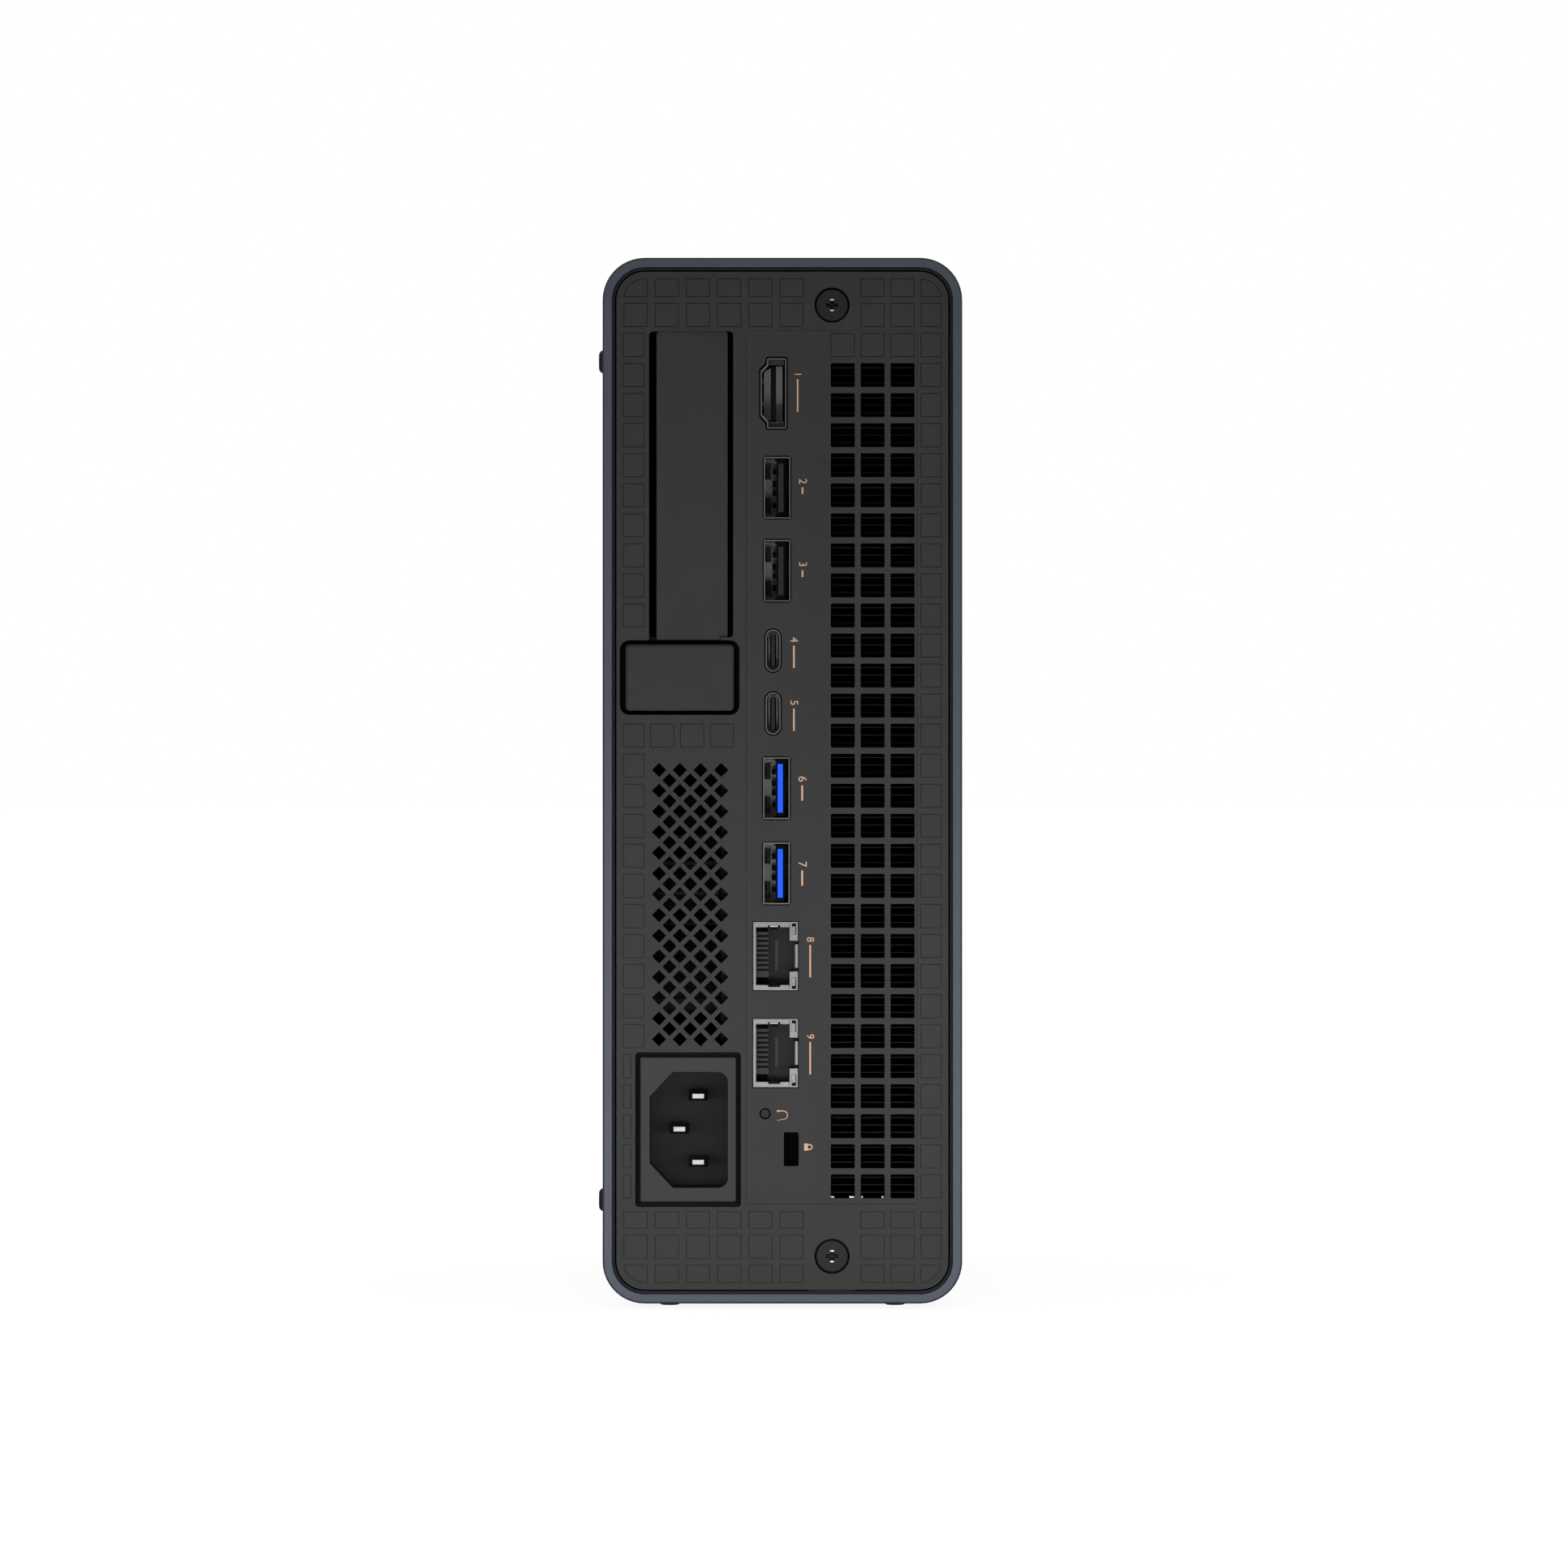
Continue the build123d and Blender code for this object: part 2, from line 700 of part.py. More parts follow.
def cavity_outline(grow, mode=Mode.ADD):
    """The inlet's outline: two cut corners on the left and two round ones on the right."""
    w = cavity_w / 2 + grow
    h = cavity_h / 2 + grow
    cut_x = cavity_cut_x - w
    cut_z = h - cavity_cut_z
    corners = [(w, h), (cut_x, h), (-w, cut_z), (-w, -cut_z), (cut_x, -h), (w, -h)]
    Polygon(*corners, align=None, mode=mode)


with BuildPart() as inlet_body:
    with BuildSketch(rear_plane(back_y)):
        with Locations((flange_x, flange_z)):
            RectangleRounded(inlet_w, inlet_h, inlet_r)
    extrude(amount=back_y - inlet_y)
    chamfer(inlet_body.faces().sort_by(Axis.Y)[0].outer_wire().edges(), length=inlet_edge)
    with BuildSketch(rear_plane(inlet_end)):
        with Locations((inlet_x, inlet_z)):
            cavity_outline(inlet_wall)
    extrude(amount=inlet_end - back_y)
    with BuildSketch(rear_plane(inlet_floor)) as cavity:
        with Locations((inlet_x, inlet_z)):
            cavity_outline(0)
        fillet(cavity.vertices().group_by(Axis.X)[-1], radius=cavity_r)
    extrude(amount=cavity_deep, mode=Mode.SUBTRACT)
    for x, z in pins:
        block(about(x, pin_w), (inlet_floor, inlet_end), about(z, pin_t), mode=Mode.SUBTRACT)
inlet_body.part.label = "inlet_body"
export_step(inlet_body.part, "parts/inlet_body.step")

with BuildPart() as inlet_pins:
    for x, z in pins:
        block(about(x, pin_w), (pin_y + pin_tip_len, inlet_end + pin_tab), about(z, pin_t))
        with BuildSketch(rear_plane(pin_y + pin_tip_len)):
            with Locations((x, z)):
                Rectangle(pin_w, pin_t)
        with BuildSketch(rear_plane(pin_y)):
            with Locations((x, z)):
                Rectangle(pin_tip_w, pin_tip_t)
        loft()
inlet_pins.part.label = "inlet_pins"
export_step(inlet_pins.part, "parts/inlet_pins.step")

# ---------------------------------------------------------------- sockets


def legs(x, z, y, length):
    """Four tabs that stand a metal can on the board's face."""
    for tab_y in (y + 3.0, y + 7.0):
        for tab_z in (z - length / 2, z + length / 2 - 1.0):
            block((board_face_x, x), about(tab_y, 1.4), (tab_z, tab_z + 1.0))


with BuildPart() as hdmi_can:
    with BuildSketch(rear_plane(port_y + hdmi_deep)):
        with Locations((hdmi_x, hdmi_z)):
            add(hdmi_outline(0))
    extrude(amount=hdmi_deep)
    with BuildSketch(rear_plane(port_y + hdmi_deep)):
        with Locations((hdmi_x, hdmi_z)):
            add(hdmi_outline(-can_t))
    extrude(amount=hdmi_deep, mode=Mode.SUBTRACT)
    legs(hdmi_x - hdmi_w / 2 + 0.2, hdmi_z, port_y, hdmi_l - 2 * (hdmi_shoulder + hdmi_slope))

with BuildPart() as hdmi_insert:
    with BuildSketch(rear_plane(port_y + hdmi_deep)):
        with Locations((hdmi_x, hdmi_z)):
            add(hdmi_outline(-can_t))
    extrude(amount=2.0)
    block(about(hdmi_x, hdmi_tongue_t), (port_y + 1.0, port_y + hdmi_deep), about(hdmi_z, hdmi_tongue_l))
hdmi_insert.part.label = "hdmi_insert"
export_step(hdmi_insert.part, "parts/hdmi_insert.step")


def usb_can(places, y):
    """Metal cans open to the rear, one for each place, and a block behind each tongue."""
    with BuildPart() as cans:
        for x, z in places:
            end = y + usb_deep if y < 0 else y - usb_deep
            span = (min(y, end), max(y, end))
            block(about(x, usb_w), span, about(z, usb_l))
            block(about(x, usb_w - 2 * can_t), span, about(z, usb_l - 2 * can_t), mode=Mode.SUBTRACT)
            legs(x - usb_w / 2, z, span[0], usb_l)
    return cans


def usb_tongue(places, y):
    """The tongues, each with the block that fills the back of its can."""
    with BuildPart() as inserts:
        for x, z in places:
            sign = 1 if y < 0 else -1
            inside = usb_w - 2 * can_t
            deep = sorted((y + sign * (usb_deep - 2.0), y + sign * usb_deep))
            block(about(x, inside), deep, about(z, usb_l - 2 * can_t))
            reach = sorted((y + sign * 0.8, y + sign * usb_deep))
            block(about(x + tongue_up, tongue_t), reach, about(z, tongue_l))
    return inserts


usb2_places = [(usb2_x, z) for z in usb2_z]
usb3_places = [(usb3_x, z) for z in usb3_z]
usb2_inserts = usb_tongue(usb2_places, port_y)
usb2_inserts.part.label = "usb2_inserts"
export_step(usb2_inserts.part, "parts/usb2_inserts.step")
usb3_inserts = usb_tongue(usb3_places, port_y)
usb3_inserts.part.label = "usb3_inserts"
export_step(usb3_inserts.part, "parts/usb3_inserts.step")


def usb_c_pair(places, y):
    """Small oval cans and their tongues, facing the rear or the front."""
    sign = 1 if y < 0 else -1
    end = y + sign * usb_c_deep
    with BuildPart() as cans:
        with BuildSketch(rear_plane(max(y, end))):
            with Locations(*places):
                SlotOverall(usb_c_l, usb_c_w, rotation=90)
                SlotOverall(usb_c_l - 2 * can_t, usb_c_w - 2 * can_t, rotation=90, mode=Mode.SUBTRACT)
        extrude(amount=usb_c_deep)
        for x, z in places:
            legs(x - usb_c_w / 2 + 0.2, z, min(y, end), usb_c_l - usb_c_w)
    with BuildPart() as tongues:
        back = max(end, end - sign * 1.5)
        with BuildSketch(rear_plane(back)):
            with Locations(*places):
                SlotOverall(usb_c_l - 2 * can_t, usb_c_w - 2 * can_t, rotation=90)
        extrude(amount=1.5)
        for x, z in places:
            reach = sorted((y + sign * 1.0, end))
            block(about(x, usb_c_tongue_t), reach, about(z, usb_c_tongue_l))
    return cans, tongues


usb_cans = usb_can(usb2_places + usb3_places, port_y)
usb_c_cans, usb_c_inserts = usb_c_pair([(usb_c_x, z) for z in usb_c_z], port_y)
with BuildPart() as socket_cans:
    add(hdmi_can.part)
    add(usb_cans.part)
    add(usb_c_cans.part)
socket_cans.part.label = "socket_cans"
export_step(socket_cans.part, "parts/socket_cans.step")
usb_c_inserts.part.label = "usb_c_inserts"
export_step(usb_c_inserts.part, "parts/usb_c_inserts.step")

# A network jack's plug opening lies toward the board, its latch channel and two lamps away from it.
lan_y = (port_y, port_y + lan_deep)
plug_x = lan_x - lan_w / 2 + lan_can_t + plug_w / 2
latch_x = (plug_x + plug_w / 2, plug_x + plug_w / 2 + latch_w)
lamp_x = (lan_x + lan_w / 2 - lamp_rim - lamp_w, lan_x + lan_w / 2 - lamp_rim)
lamp_off = lan_l / 2 - lamp_rim - lamp_l / 2
with BuildPart() as lan_cans:
    for z in lan_z:
        block(about(lan_x, lan_w), lan_y, about(z, lan_l))
        block(about(lan_x, lan_w - 2 * lan_can_t), lan_y, about(z, lan_l - 2 * lan_can_t), mode=Mode.SUBTRACT)
        for off in (-lamp_off, lamp_off):
            block(lamp_x, lan_y, about(z + off, lamp_l), mode=Mode.SUBTRACT)
lan_cans.part.label = "lan_cans"
export_step(lan_cans.part, "parts/lan_cans.step")

with BuildPart() as lan_inserts:
    for z in lan_z:
        block(about(lan_x, lan_w - 2 * lan_can_t), lan_y, about(z, lan_l - 2 * lan_can_t))
        block(about(plug_x, plug_w), (port_y, port_y + plug_deep), about(z, plug_l), mode=Mode.SUBTRACT)
        block(latch_x, (port_y, port_y + plug_deep), about(z, latch_l), mode=Mode.SUBTRACT)
        for off in (-lamp_off, lamp_off):
            block(lamp_x, lan_y, about(z + off, lamp_l), mode=Mode.SUBTRACT)
lan_inserts.part.label = "lan_inserts"
export_step(lan_inserts.part, "parts/lan_inserts.step")

with BuildPart() as lan_lamps:
    for z in lan_z:
        for off in (-lamp_off, lamp_off):
            block(lamp_x, lan_y, about(z + off, lamp_l))
lan_lamps.part.label = "lan_lamps"
export_step(lan_lamps.part, "parts/lan_lamps.step")

with BuildPart() as lan_wires:
    for z in lan_z:
        for k in range(wires):
            wire_z = z + (k - (wires - 1) / 2) * wire_pitch
            foot = plug_x - plug_w / 2
            block((foot, foot + wire_t), (port_y + 4.0, port_y + plug_deep), about(wire_z, wire_t))
lan_wires.part.label = "lan_wires"
export_step(lan_wires.part, "parts/lan_wires.step")

# ---------------------------------------------------------------- reset button and lock slot

reset_y = face_y + reset_in
switch_y = reset_y + reset_len - 1.2
with BuildPart() as reset_button:
    rod_y(reset_x, reset_z, (reset_y, reset_y + reset_len), reset_d)
reset_button.part.label = "reset_button"
export_step(reset_button.part, "parts/reset_button.step")

with BuildPart() as lock_plate:
    block((lock_x - 2.6, ports_right), (back_y, back_y + lock_plate_t), (ports_low, lock_z + lock_h / 2 + 1.4))
    with BuildSketch(rear_plane(back_y + lock_plate_t)):
        with Locations((lock_x, lock_z)):
            Rectangle(lock_w, lock_h)
    extrude(amount=lock_plate_t, mode=Mode.SUBTRACT)
lock_plate.part.label = "lock_plate"
export_step(lock_plate.part, "parts/lock_plate.step")

# ---------------------------------------------------------------- main board

board_rear = inner_y + 0.5
jack_notch = lan_l / 2 + body_gap
with BuildPart() as main_board:
    block((board_back_x, board_face_x), (board_rear, board_front), (board_low, board_high))
    for z in lan_z:
        notch_y = (board_rear, lan_y[1] + body_gap)
        block((board_back_x, board_face_x), notch_y, (z - jack_notch, z + jack_notch), mode=Mode.SUBTRACT)
    for y in bolt_y:
        for z in bolt_z:
            rod_x((board_back_x, board_face_x), y, z, screw_d, mode=Mode.SUBTRACT)
main_board.part.label = "main_board"
export_step(main_board.part, "parts/main_board.step")

with BuildPart() as board_screws:
    for y in bolt_y:
        for z in bolt_z:
            rod_x((supply_right, board_face_x), y, z, screw_d)
            rod_x((board_face_x, board_face_x + 1.8), y, z, post_d)
            rod_x((board_face_x + 1.0, board_face_x + 1.8), y, z, 2.2, mode=Mode.SUBTRACT)
board_screws.part.label = "board_screws"
export_step(board_screws.part, "parts/board_screws.step")

chip_x = (board_face_x, board_face_x + chip_t)
die_x = (chip_x[1], chip_x[1] + die_t)
with BuildPart() as processor:
    block(chip_x, about(chip_y, chip_h), about(chip_z, chip_w))
    block(die_x, about(chip_y, die_h), about(chip_z, die_w))
processor.part.label = "processor"
export_step(processor.part, "parts/processor.step")

memory_off = chip_w / 2 + 10.0
memory_y = [chip_y + (k - 1.5) * 15.0 for k in range(4)]
coil_y = chip_y + chip_h / 2 + 8.0
with BuildPart() as board_chips:
    for z in (chip_z - memory_off, chip_z + memory_off):
        for y in memory_y:
            block((board_face_x, board_face_x + 1.0), about(y, 12.4), about(z, 14.0))
    for k in range(6):
        block((board_face_x, board_face_x + 4.0), about(coil_y, 6.5), about(chip_z + (k - 2.5) * 8.5, 6.5))
board_chips.part.label = "board_chips"
export_step(board_chips.part, "parts/board_chips.step")

# ---------------------------------------------------------------- cooler

base_half = 30.0
with BuildPart() as cooler_base:
    block((die_x[1], pipe_x), about(chip_y, die_h + 8.0), about(chip_z, die_w + 8.0))
    block((pipe_x - 2.5, pipe_x), about(chip_y, 2 * base_half - 8.0), about(chip_z, 2 * base_half))
cooler_base.part.label = "cooler_base"
export_step(cooler_base.part, "parts/cooler_base.step")

# Four flat pipes lie on the base and turn up or down under the fins.
with BuildPart() as heat_pipes:
    for side in (1, -1):
        for k in (0, 1):
            start_z = chip_z + side * (6.0 + 12.0 * k)
            turn_y = fins_rear + 6.0 + 10.0 * (1 - k)
            end_z = start_z + side * pipe_reach
            with BuildSketch(side_plane(pipe_x)):
                with BuildLine():
                    FilletPolyline((chip_y + 20.0, start_z), (turn_y, start_z), (turn_y, end_z), radius=8.0)
                trace(line_width=pipe_w)
            extrude(amount=pipe_t)
heat_pipes.part.label = "heat_pipes"
export_step(heat_pipes.part, "parts/heat_pipes.step")

spreader_z = (fin_low - 0.6, fin_low + fin_span + 0.6)
post_y = (fins_front + 8.0, spreader_front - 6.0)
post_z = (spreader_z[0] + 14.0, spreader_z[1] - 14.0)
with BuildPart() as spreader:
    block((spreader_x, blower_x), (fins_rear, spreader_front), spreader_z)
    for y in post_y:
        for z in post_z:
            rod_x((board_face_x, spreader_x), y, z, post_d)
spreader.part.label = "spreader"
export_step(spreader.part, "parts/spreader.step")

with BuildPart() as cooler_fins:
    block((blower_x, blower_x + 0.6), (fins_rear, fins_front), spreader_z)
    fin_middle = (mid_x + (blower_x + fin_top_x) / 2, (fins_rear + fins_front) / 2)
    with Locations(*[(*fin_middle, fin_low + k * fin_pitch) for k in range(fin_count)]):
        Box(fin_top_x - blower_x, fin_len, fin_t)
cooler_fins.part.label = "cooler_fins"
export_step(cooler_fins.part, "parts/cooler_fins.step")


def blower(x, y, z, size, wall):
    """A flat fan housing that blows to the rear: open on its right face, with a post for the rotor."""
    centre = (y + size / 2, z)
    with BuildPart() as housing:
        with BuildSketch(side_plane(x[0])):
            with Locations(centre):
                RectangleRounded(size, size, 4.0)
        extrude(amount=x[1] - x[0])
        with BuildSketch(side_plane(x[0] + wall)):
            with Locations(centre):
                Circle(size / 2 - wall)
            with Locations((y + size / 4, z)):
                Rectangle(size / 2, size - 2 * wall)
        extrude(amount=x[1] - x[0] - 2 * wall, mode=Mode.SUBTRACT)
        with BuildSketch(side_plane(x[0] + wall)):
            with Locations(centre):
                Circle(size * 0.32)
        extrude(amount=x[1] - x[0] - wall, mode=Mode.SUBTRACT)
        rod_x((x[0] + wall, x[1] - 2 * wall), *centre, size * 0.12)
    return housing


def impeller(x, y, z, size, wall, blades=29):
    """The rotor of such a fan: a cup on the post, a disc and a ring of blades."""
    centre = (y + size / 2, z)
    radius = size * 0.4
    low = x[0] + wall + body_gap
    high = x[1] - wall - body_gap
    with BuildPart() as rotor:
        rod_x((low, low + 1.0), *centre, 2 * radius)
        rod_x((low, high), *centre, size * 0.3)
        with BuildSketch(side_plane(low)):
            with Locations(centre):
                with PolarLocations(radius - size * 0.055, blades):
                    Rectangle(size * 0.1, 0.8, rotation=18)
        extrude(amount=high - low)
        rod_x((low, high), *centre, size * 0.12 + 2 * body_gap, mode=Mode.SUBTRACT)
    return rotor


fan_x = (blower_x, blower_x + blower_t)
fan_z = (chip_z + blower_size / 2 + 0.5, chip_z - blower_size / 2 - 0.5)
for place, z in zip(("upper", "lower"), fan_z):
    housing = blower(fan_x, fins_front, z, blower_size, blower_wall)
    housing.part.label = f"{place}_blower"
    export_step(housing.part, f"parts/{place}_blower.step")
    rotor = impeller(fan_x, fins_front, z, blower_size, blower_wall)
    rotor.part.label = f"{place}_rotor"
    export_step(rotor.part, f"parts/{place}_rotor.step")

# ---------------------------------------------------------------- power supply

supply_y = (inner_y, supply_front)
supply_in = (supply_left + sheet_t, supply_right - sheet_t)
supply_floor = bay_low + sheet_t
supply_board_x = (supply_in[0] + 1.5, supply_in[0] + 1.5 + supply_board_t)
supply_fan_x = (supply_in[0], supply_in[0] + supply_blower_t)
supply_fan_y = inner_y + body_gap
supply_board_y = (supply_fan_y + supply_blower + 3.0, supply_front - 4.0)
supply_board_z = (supply_floor + 3.0, supply_top - sheet_t - 3.0)
with BuildPart() as supply_case:
    block((supply_left, supply_right), supply_y, (bay_low, supply_top))
    block(supply_in, (inner_y, supply_front - sheet_t), (supply_floor, supply_top - sheet_t), mode=Mode.SUBTRACT)
    with BuildSketch(rear_plane(supply_front)):
        with Locations((sum(supply_in) / 2, (bay_low + supply_top) / 2)):
            with GridLocations(5.0, 5.0, 4, 16):
                Circle(1.8)
    extrude(amount=sheet_t, mode=Mode.SUBTRACT)
    for y in (supply_board_y[0] + 6.0, supply_board_y[1] - 6.0):
        for z in (supply_board_z[0] + 6.0, supply_board_z[1] - 6.0):
            rod_x((supply_in[0], supply_board_x[0]), y, z, post_d)
supply_case.part.label = "supply_case"
export_step(supply_case.part, "parts/supply_case.step")

supply_fan = blower(supply_fan_x, supply_fan_y, grille_z, supply_blower, blower_wall)
supply_fan.part.label = "supply_blower"
export_step(supply_fan.part, "parts/supply_blower.step")
supply_rotor = impeller(supply_fan_x, supply_fan_y, grille_z, supply_blower, blower_wall, blades=23)
supply_rotor.part.label = "supply_rotor"
export_step(supply_rotor.part, "parts/supply_rotor.step")

supply_part_x = (supply_board_x[1], supply_in[1] - 1.5)
supply_mid_y = sum(supply_board_y) / 2
with BuildPart() as supply_board:
    block(supply_board_x, supply_board_y, supply_board_z)
    block((supply_part_x[0], supply_part_x[1] - 1.0), about(supply_mid_y + 4.0, 30.0), about(60.0, 28.0))
    block((supply_part_x[0], supply_part_x[1] - 4.0), about(supply_mid_y + 4.0, 60.0), about(88.0, 3.0))
    for k in range(3):
        rod_x(supply_part_x, supply_mid_y - 24.0 + 24.0 * k, 104.0, 16.0)
        rod_x((supply_part_x[0], supply_part_x[1] - 3.0), supply_mid_y - 24.0 + 24.0 * k, 30.0, 12.0)
supply_board.part.label = "supply_board"
export_step(supply_board.part, "parts/supply_board.step")

# ---------------------------------------------------------------- card slot on its riser

riser_z = (supply_top + riser_gap, supply_top + riser_gap + riser_t)
riser_y = about(card_slot_y, card_slot_l + 10.0)
with BuildPart() as riser_board:
    block((supply_left + 1.0, supply_right - 1.0), riser_y, riser_z)
    for x in (supply_left + 4.0, supply_right - 4.0):
        for y in (riser_y[0] + 4.0, riser_y[1] - 4.0):
            block(about(x, 4.0), about(y, 4.0), (supply_top, riser_z[0]))
riser_board.part.label = "riser_board"
export_step(riser_board.part, "parts/riser_board.step")

with BuildPart() as card_slot:
    block(about(card_slot_x, card_slot_w), about(card_slot_y, card_slot_l), (riser_z[1], riser_z[1] + card_slot_h))
    groove_z = (riser_z[1] + card_slot_h - 8.0, riser_z[1] + card_slot_h)
    block(about(card_slot_x, 1.8), about(card_slot_y, card_slot_l - 4.0), groove_z, mode=Mode.SUBTRACT)
card_slot.part.label = "card_slot"
export_step(card_slot.part, "parts/card_slot.step")

# ---------------------------------------------------------------- storage, radio and clock cell

ssd_x = (board_face_x + ssd_lift, board_face_x + ssd_lift + ssd_t)
ssd_y = (ssd_front - ssd_l, ssd_front)
with BuildPart() as ssd_sockets:
    for z in ssd_z:
        block((board_face_x, ssd_x[1] + 1.0), (ssd_y[1] - 2.5, ssd_y[1] + 2.5), about(z, ssd_w))
        block(ssd_x, ssd_y, about(z, ssd_w), mode=Mode.SUBTRACT)
        rod_x((board_face_x, ssd_x[0]), ssd_y[0] + 2.0, z, 5.0)
ssd_sockets.part.label = "ssd_sockets"
export_step(ssd_sockets.part, "parts/ssd_sockets.step")

with BuildPart() as ssd_cards:
    for z in ssd_z:
        block(ssd_x, ssd_y, about(z, ssd_w))
        for k in range(3):
            block((ssd_x[1], ssd_x[1] + 1.2), about(ssd_y[0] + 18.0 + 20.0 * k, 15.0), about(z, 18.0))
ssd_cards.part.label = "ssd_cards"
export_step(ssd_cards.part, "parts/ssd_cards.step")

sink_x = (ssd_x[1] + 1.2, ssd_x[1] + 1.2 + ssd_cap_t)
with BuildPart() as ssd_sinks:
    for z in ssd_z:
        block(sink_x, (ssd_y[0] + 8.0, ssd_y[0] + 68.0), about(z, ssd_w))
        for k in range(5):
            rib_z = z + (k - 2) * 4.0
            block((sink_x[0] + 1.2, sink_x[1]), (ssd_y[0] + 8.0, ssd_y[0] + 68.0), about(rib_z, 2.0), mode=Mode.SUBTRACT)
ssd_sinks.part.label = "ssd_sinks"
export_step(ssd_sinks.part, "parts/ssd_sinks.step")

with BuildPart() as radio_card:
    block((board_face_x, ssd_x[0]), (ssd_y[1] - 4.0, ssd_y[1] + 2.0), about(radio_z, ssd_w))
    block(ssd_x, (ssd_y[1] - radio_l, ssd_y[1]), about(radio_z, ssd_w))
    block((ssd_x[1], ssd_x[1] + 1.4), (ssd_y[1] - radio_l + 6.0, ssd_y[1] - 8.0), about(radio_z, 16.0))
radio_card.part.label = "radio_card"
export_step(radio_card.part, "parts/radio_card.step")

cell_y = 60.0
cell_z = 48.0
with BuildPart() as clock_cell:
    rod_x((board_face_x, board_face_x + cell_t), cell_y, cell_z, cell_d)
    chamfer(clock_cell.edges().group_by(Axis.X)[-1], length=0.4)
clock_cell.part.label = "clock_cell"
export_step(clock_cell.part, "parts/clock_cell.step")

# ---------------------------------------------------------------- front end

front_face_y = front_y - panel_in
front_back_y = front_face_y - panel_t
front_port_y = front_back_y - body_gap
port_hole = 0.3
front_w = bore_w - 2 * fit_gap
front_h = bore_h - 2 * fit_gap
front_vents = [(x, z) for x in vent_columns for z in rows[2:-1]]
front_vents += [(-x, z) for x in vent_columns for z in rows[2:-1]]
button_hole = power_d / 2 + power_ring_w + fit_gap

with BuildPart() as front_panel:
    with BuildSketch(rear_plane(front_face_y)):
        with Locations((0, mid_z)):
            RectangleRounded(front_w, front_h, bore_r - fit_gap)
        with Locations(*front_vents):
            RectangleRounded(cell, cell, cell_r, mode=Mode.SUBTRACT)
        with Locations((front_x, front_usb_z)):
            RectangleRounded(usb_w + 2 * port_hole, usb_l + 2 * port_hole, usb_r, mode=Mode.SUBTRACT)
        with Locations(*[(front_x, z) for z in front_c_z]):
            SlotOverall(usb_c_l + 2 * port_hole, usb_c_w + 2 * port_hole, rotation=90, mode=Mode.SUBTRACT)
        with Locations((front_x, audio_z)):
            Circle(audio_d / 2 + port_hole, mode=Mode.SUBTRACT)
        with Locations((power_x, power_z)):
            Circle(button_hole - fit_gap, mode=Mode.SUBTRACT)
    extrude(amount=panel_t)
    chamfer(front_panel.faces().sort_by(Axis.Y)[-1].outer_wire().edges(), length=edge_break)
front_panel.part.label = "front_panel"
export_step(front_panel.part, "parts/front_panel.step")

front_usb_can = usb_can([(front_x, front_usb_z)], front_port_y)
front_usb_tongue = usb_tongue([(front_x, front_usb_z)], front_port_y)
front_c_cans, front_c_tongues = usb_c_pair([(front_x, z) for z in front_c_z], front_port_y)
with BuildPart() as front_sockets:
    add(front_usb_can.part)
    add(front_c_cans.part)
front_sockets.part.label = "front_sockets"
export_step(front_sockets.part, "parts/front_sockets.step")
with BuildPart() as front_inserts:
    add(front_usb_tongue.part)
    add(front_c_tongues.part)
front_inserts.part.label = "front_inserts"
export_step(front_inserts.part, "parts/front_inserts.step")

with BuildPart() as audio_jack:
    block((board_face_x, front_x + 3.2), (front_port_y - 12.0, front_port_y - 1.0), about(audio_z, 7.0))
    rod_y(front_x, audio_z, (front_port_y - 1.0, front_port_y), audio_d)
    rod_y(front_x, audio_z, (front_port_y - 11.0, front_port_y), 3.6, mode=Mode.SUBTRACT)
audio_jack.part.label = "audio_jack"
export_step(audio_jack.part, "parts/audio_jack.step")

power_ring_y = (front_back_y, front_face_y + 0.1)
with BuildPart() as power_ring:
    rod_y(power_x, power_z, power_ring_y, power_d + 2 * power_ring_w)
    rod_y(power_x, power_z, power_ring_y, power_d + 2 * 0.3, mode=Mode.SUBTRACT)
power_ring.part.label = "power_ring"
export_step(power_ring.part, "parts/power_ring.step")

flange_y = front_back_y - 0.3
with BuildPart() as power_button:
    rod_y(power_x, power_z, (flange_y, front_face_y + power_proud), power_d)
    chamfer(power_button.edges().group_by(Axis.Y)[-1], length=0.4)
    rod_y(power_x, power_z, (flange_y - 0.8, flange_y), power_d + 2 * power_ring_w)
power_button.part.label = "power_button"
export_step(power_button.part, "parts/power_button.step")

push_y = flange_y - 0.8 - power_stroke - 0.3
with BuildPart() as switches:
    block((board_face_x, reset_x + 2.0), (switch_y, switch_y + 6.0), about(reset_z, 4.4))
    stem_room = (switch_y, switch_y + 1.2 + 2 * reset_stroke)
    rod_y(reset_x, reset_z, stem_room, reset_d + 2 * 0.3, mode=Mode.SUBTRACT)
    block((board_face_x, power_x + 2.6), (push_y - 5.0, push_y - 1.0), about(power_z, 6.0))
    rod_y(power_x, power_z, (push_y - 1.0, push_y), 3.0)
switches.part.label = "switches"
export_step(switches.part, "parts/switches.step")
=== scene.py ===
"""Looks for the upright mini workstation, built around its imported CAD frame.

Metres, in the frame's own axes: x across, y from the rear face into the case, z up.
"""
import json
import math

import bmesh
import bpy
from mathutils import Matrix, Vector


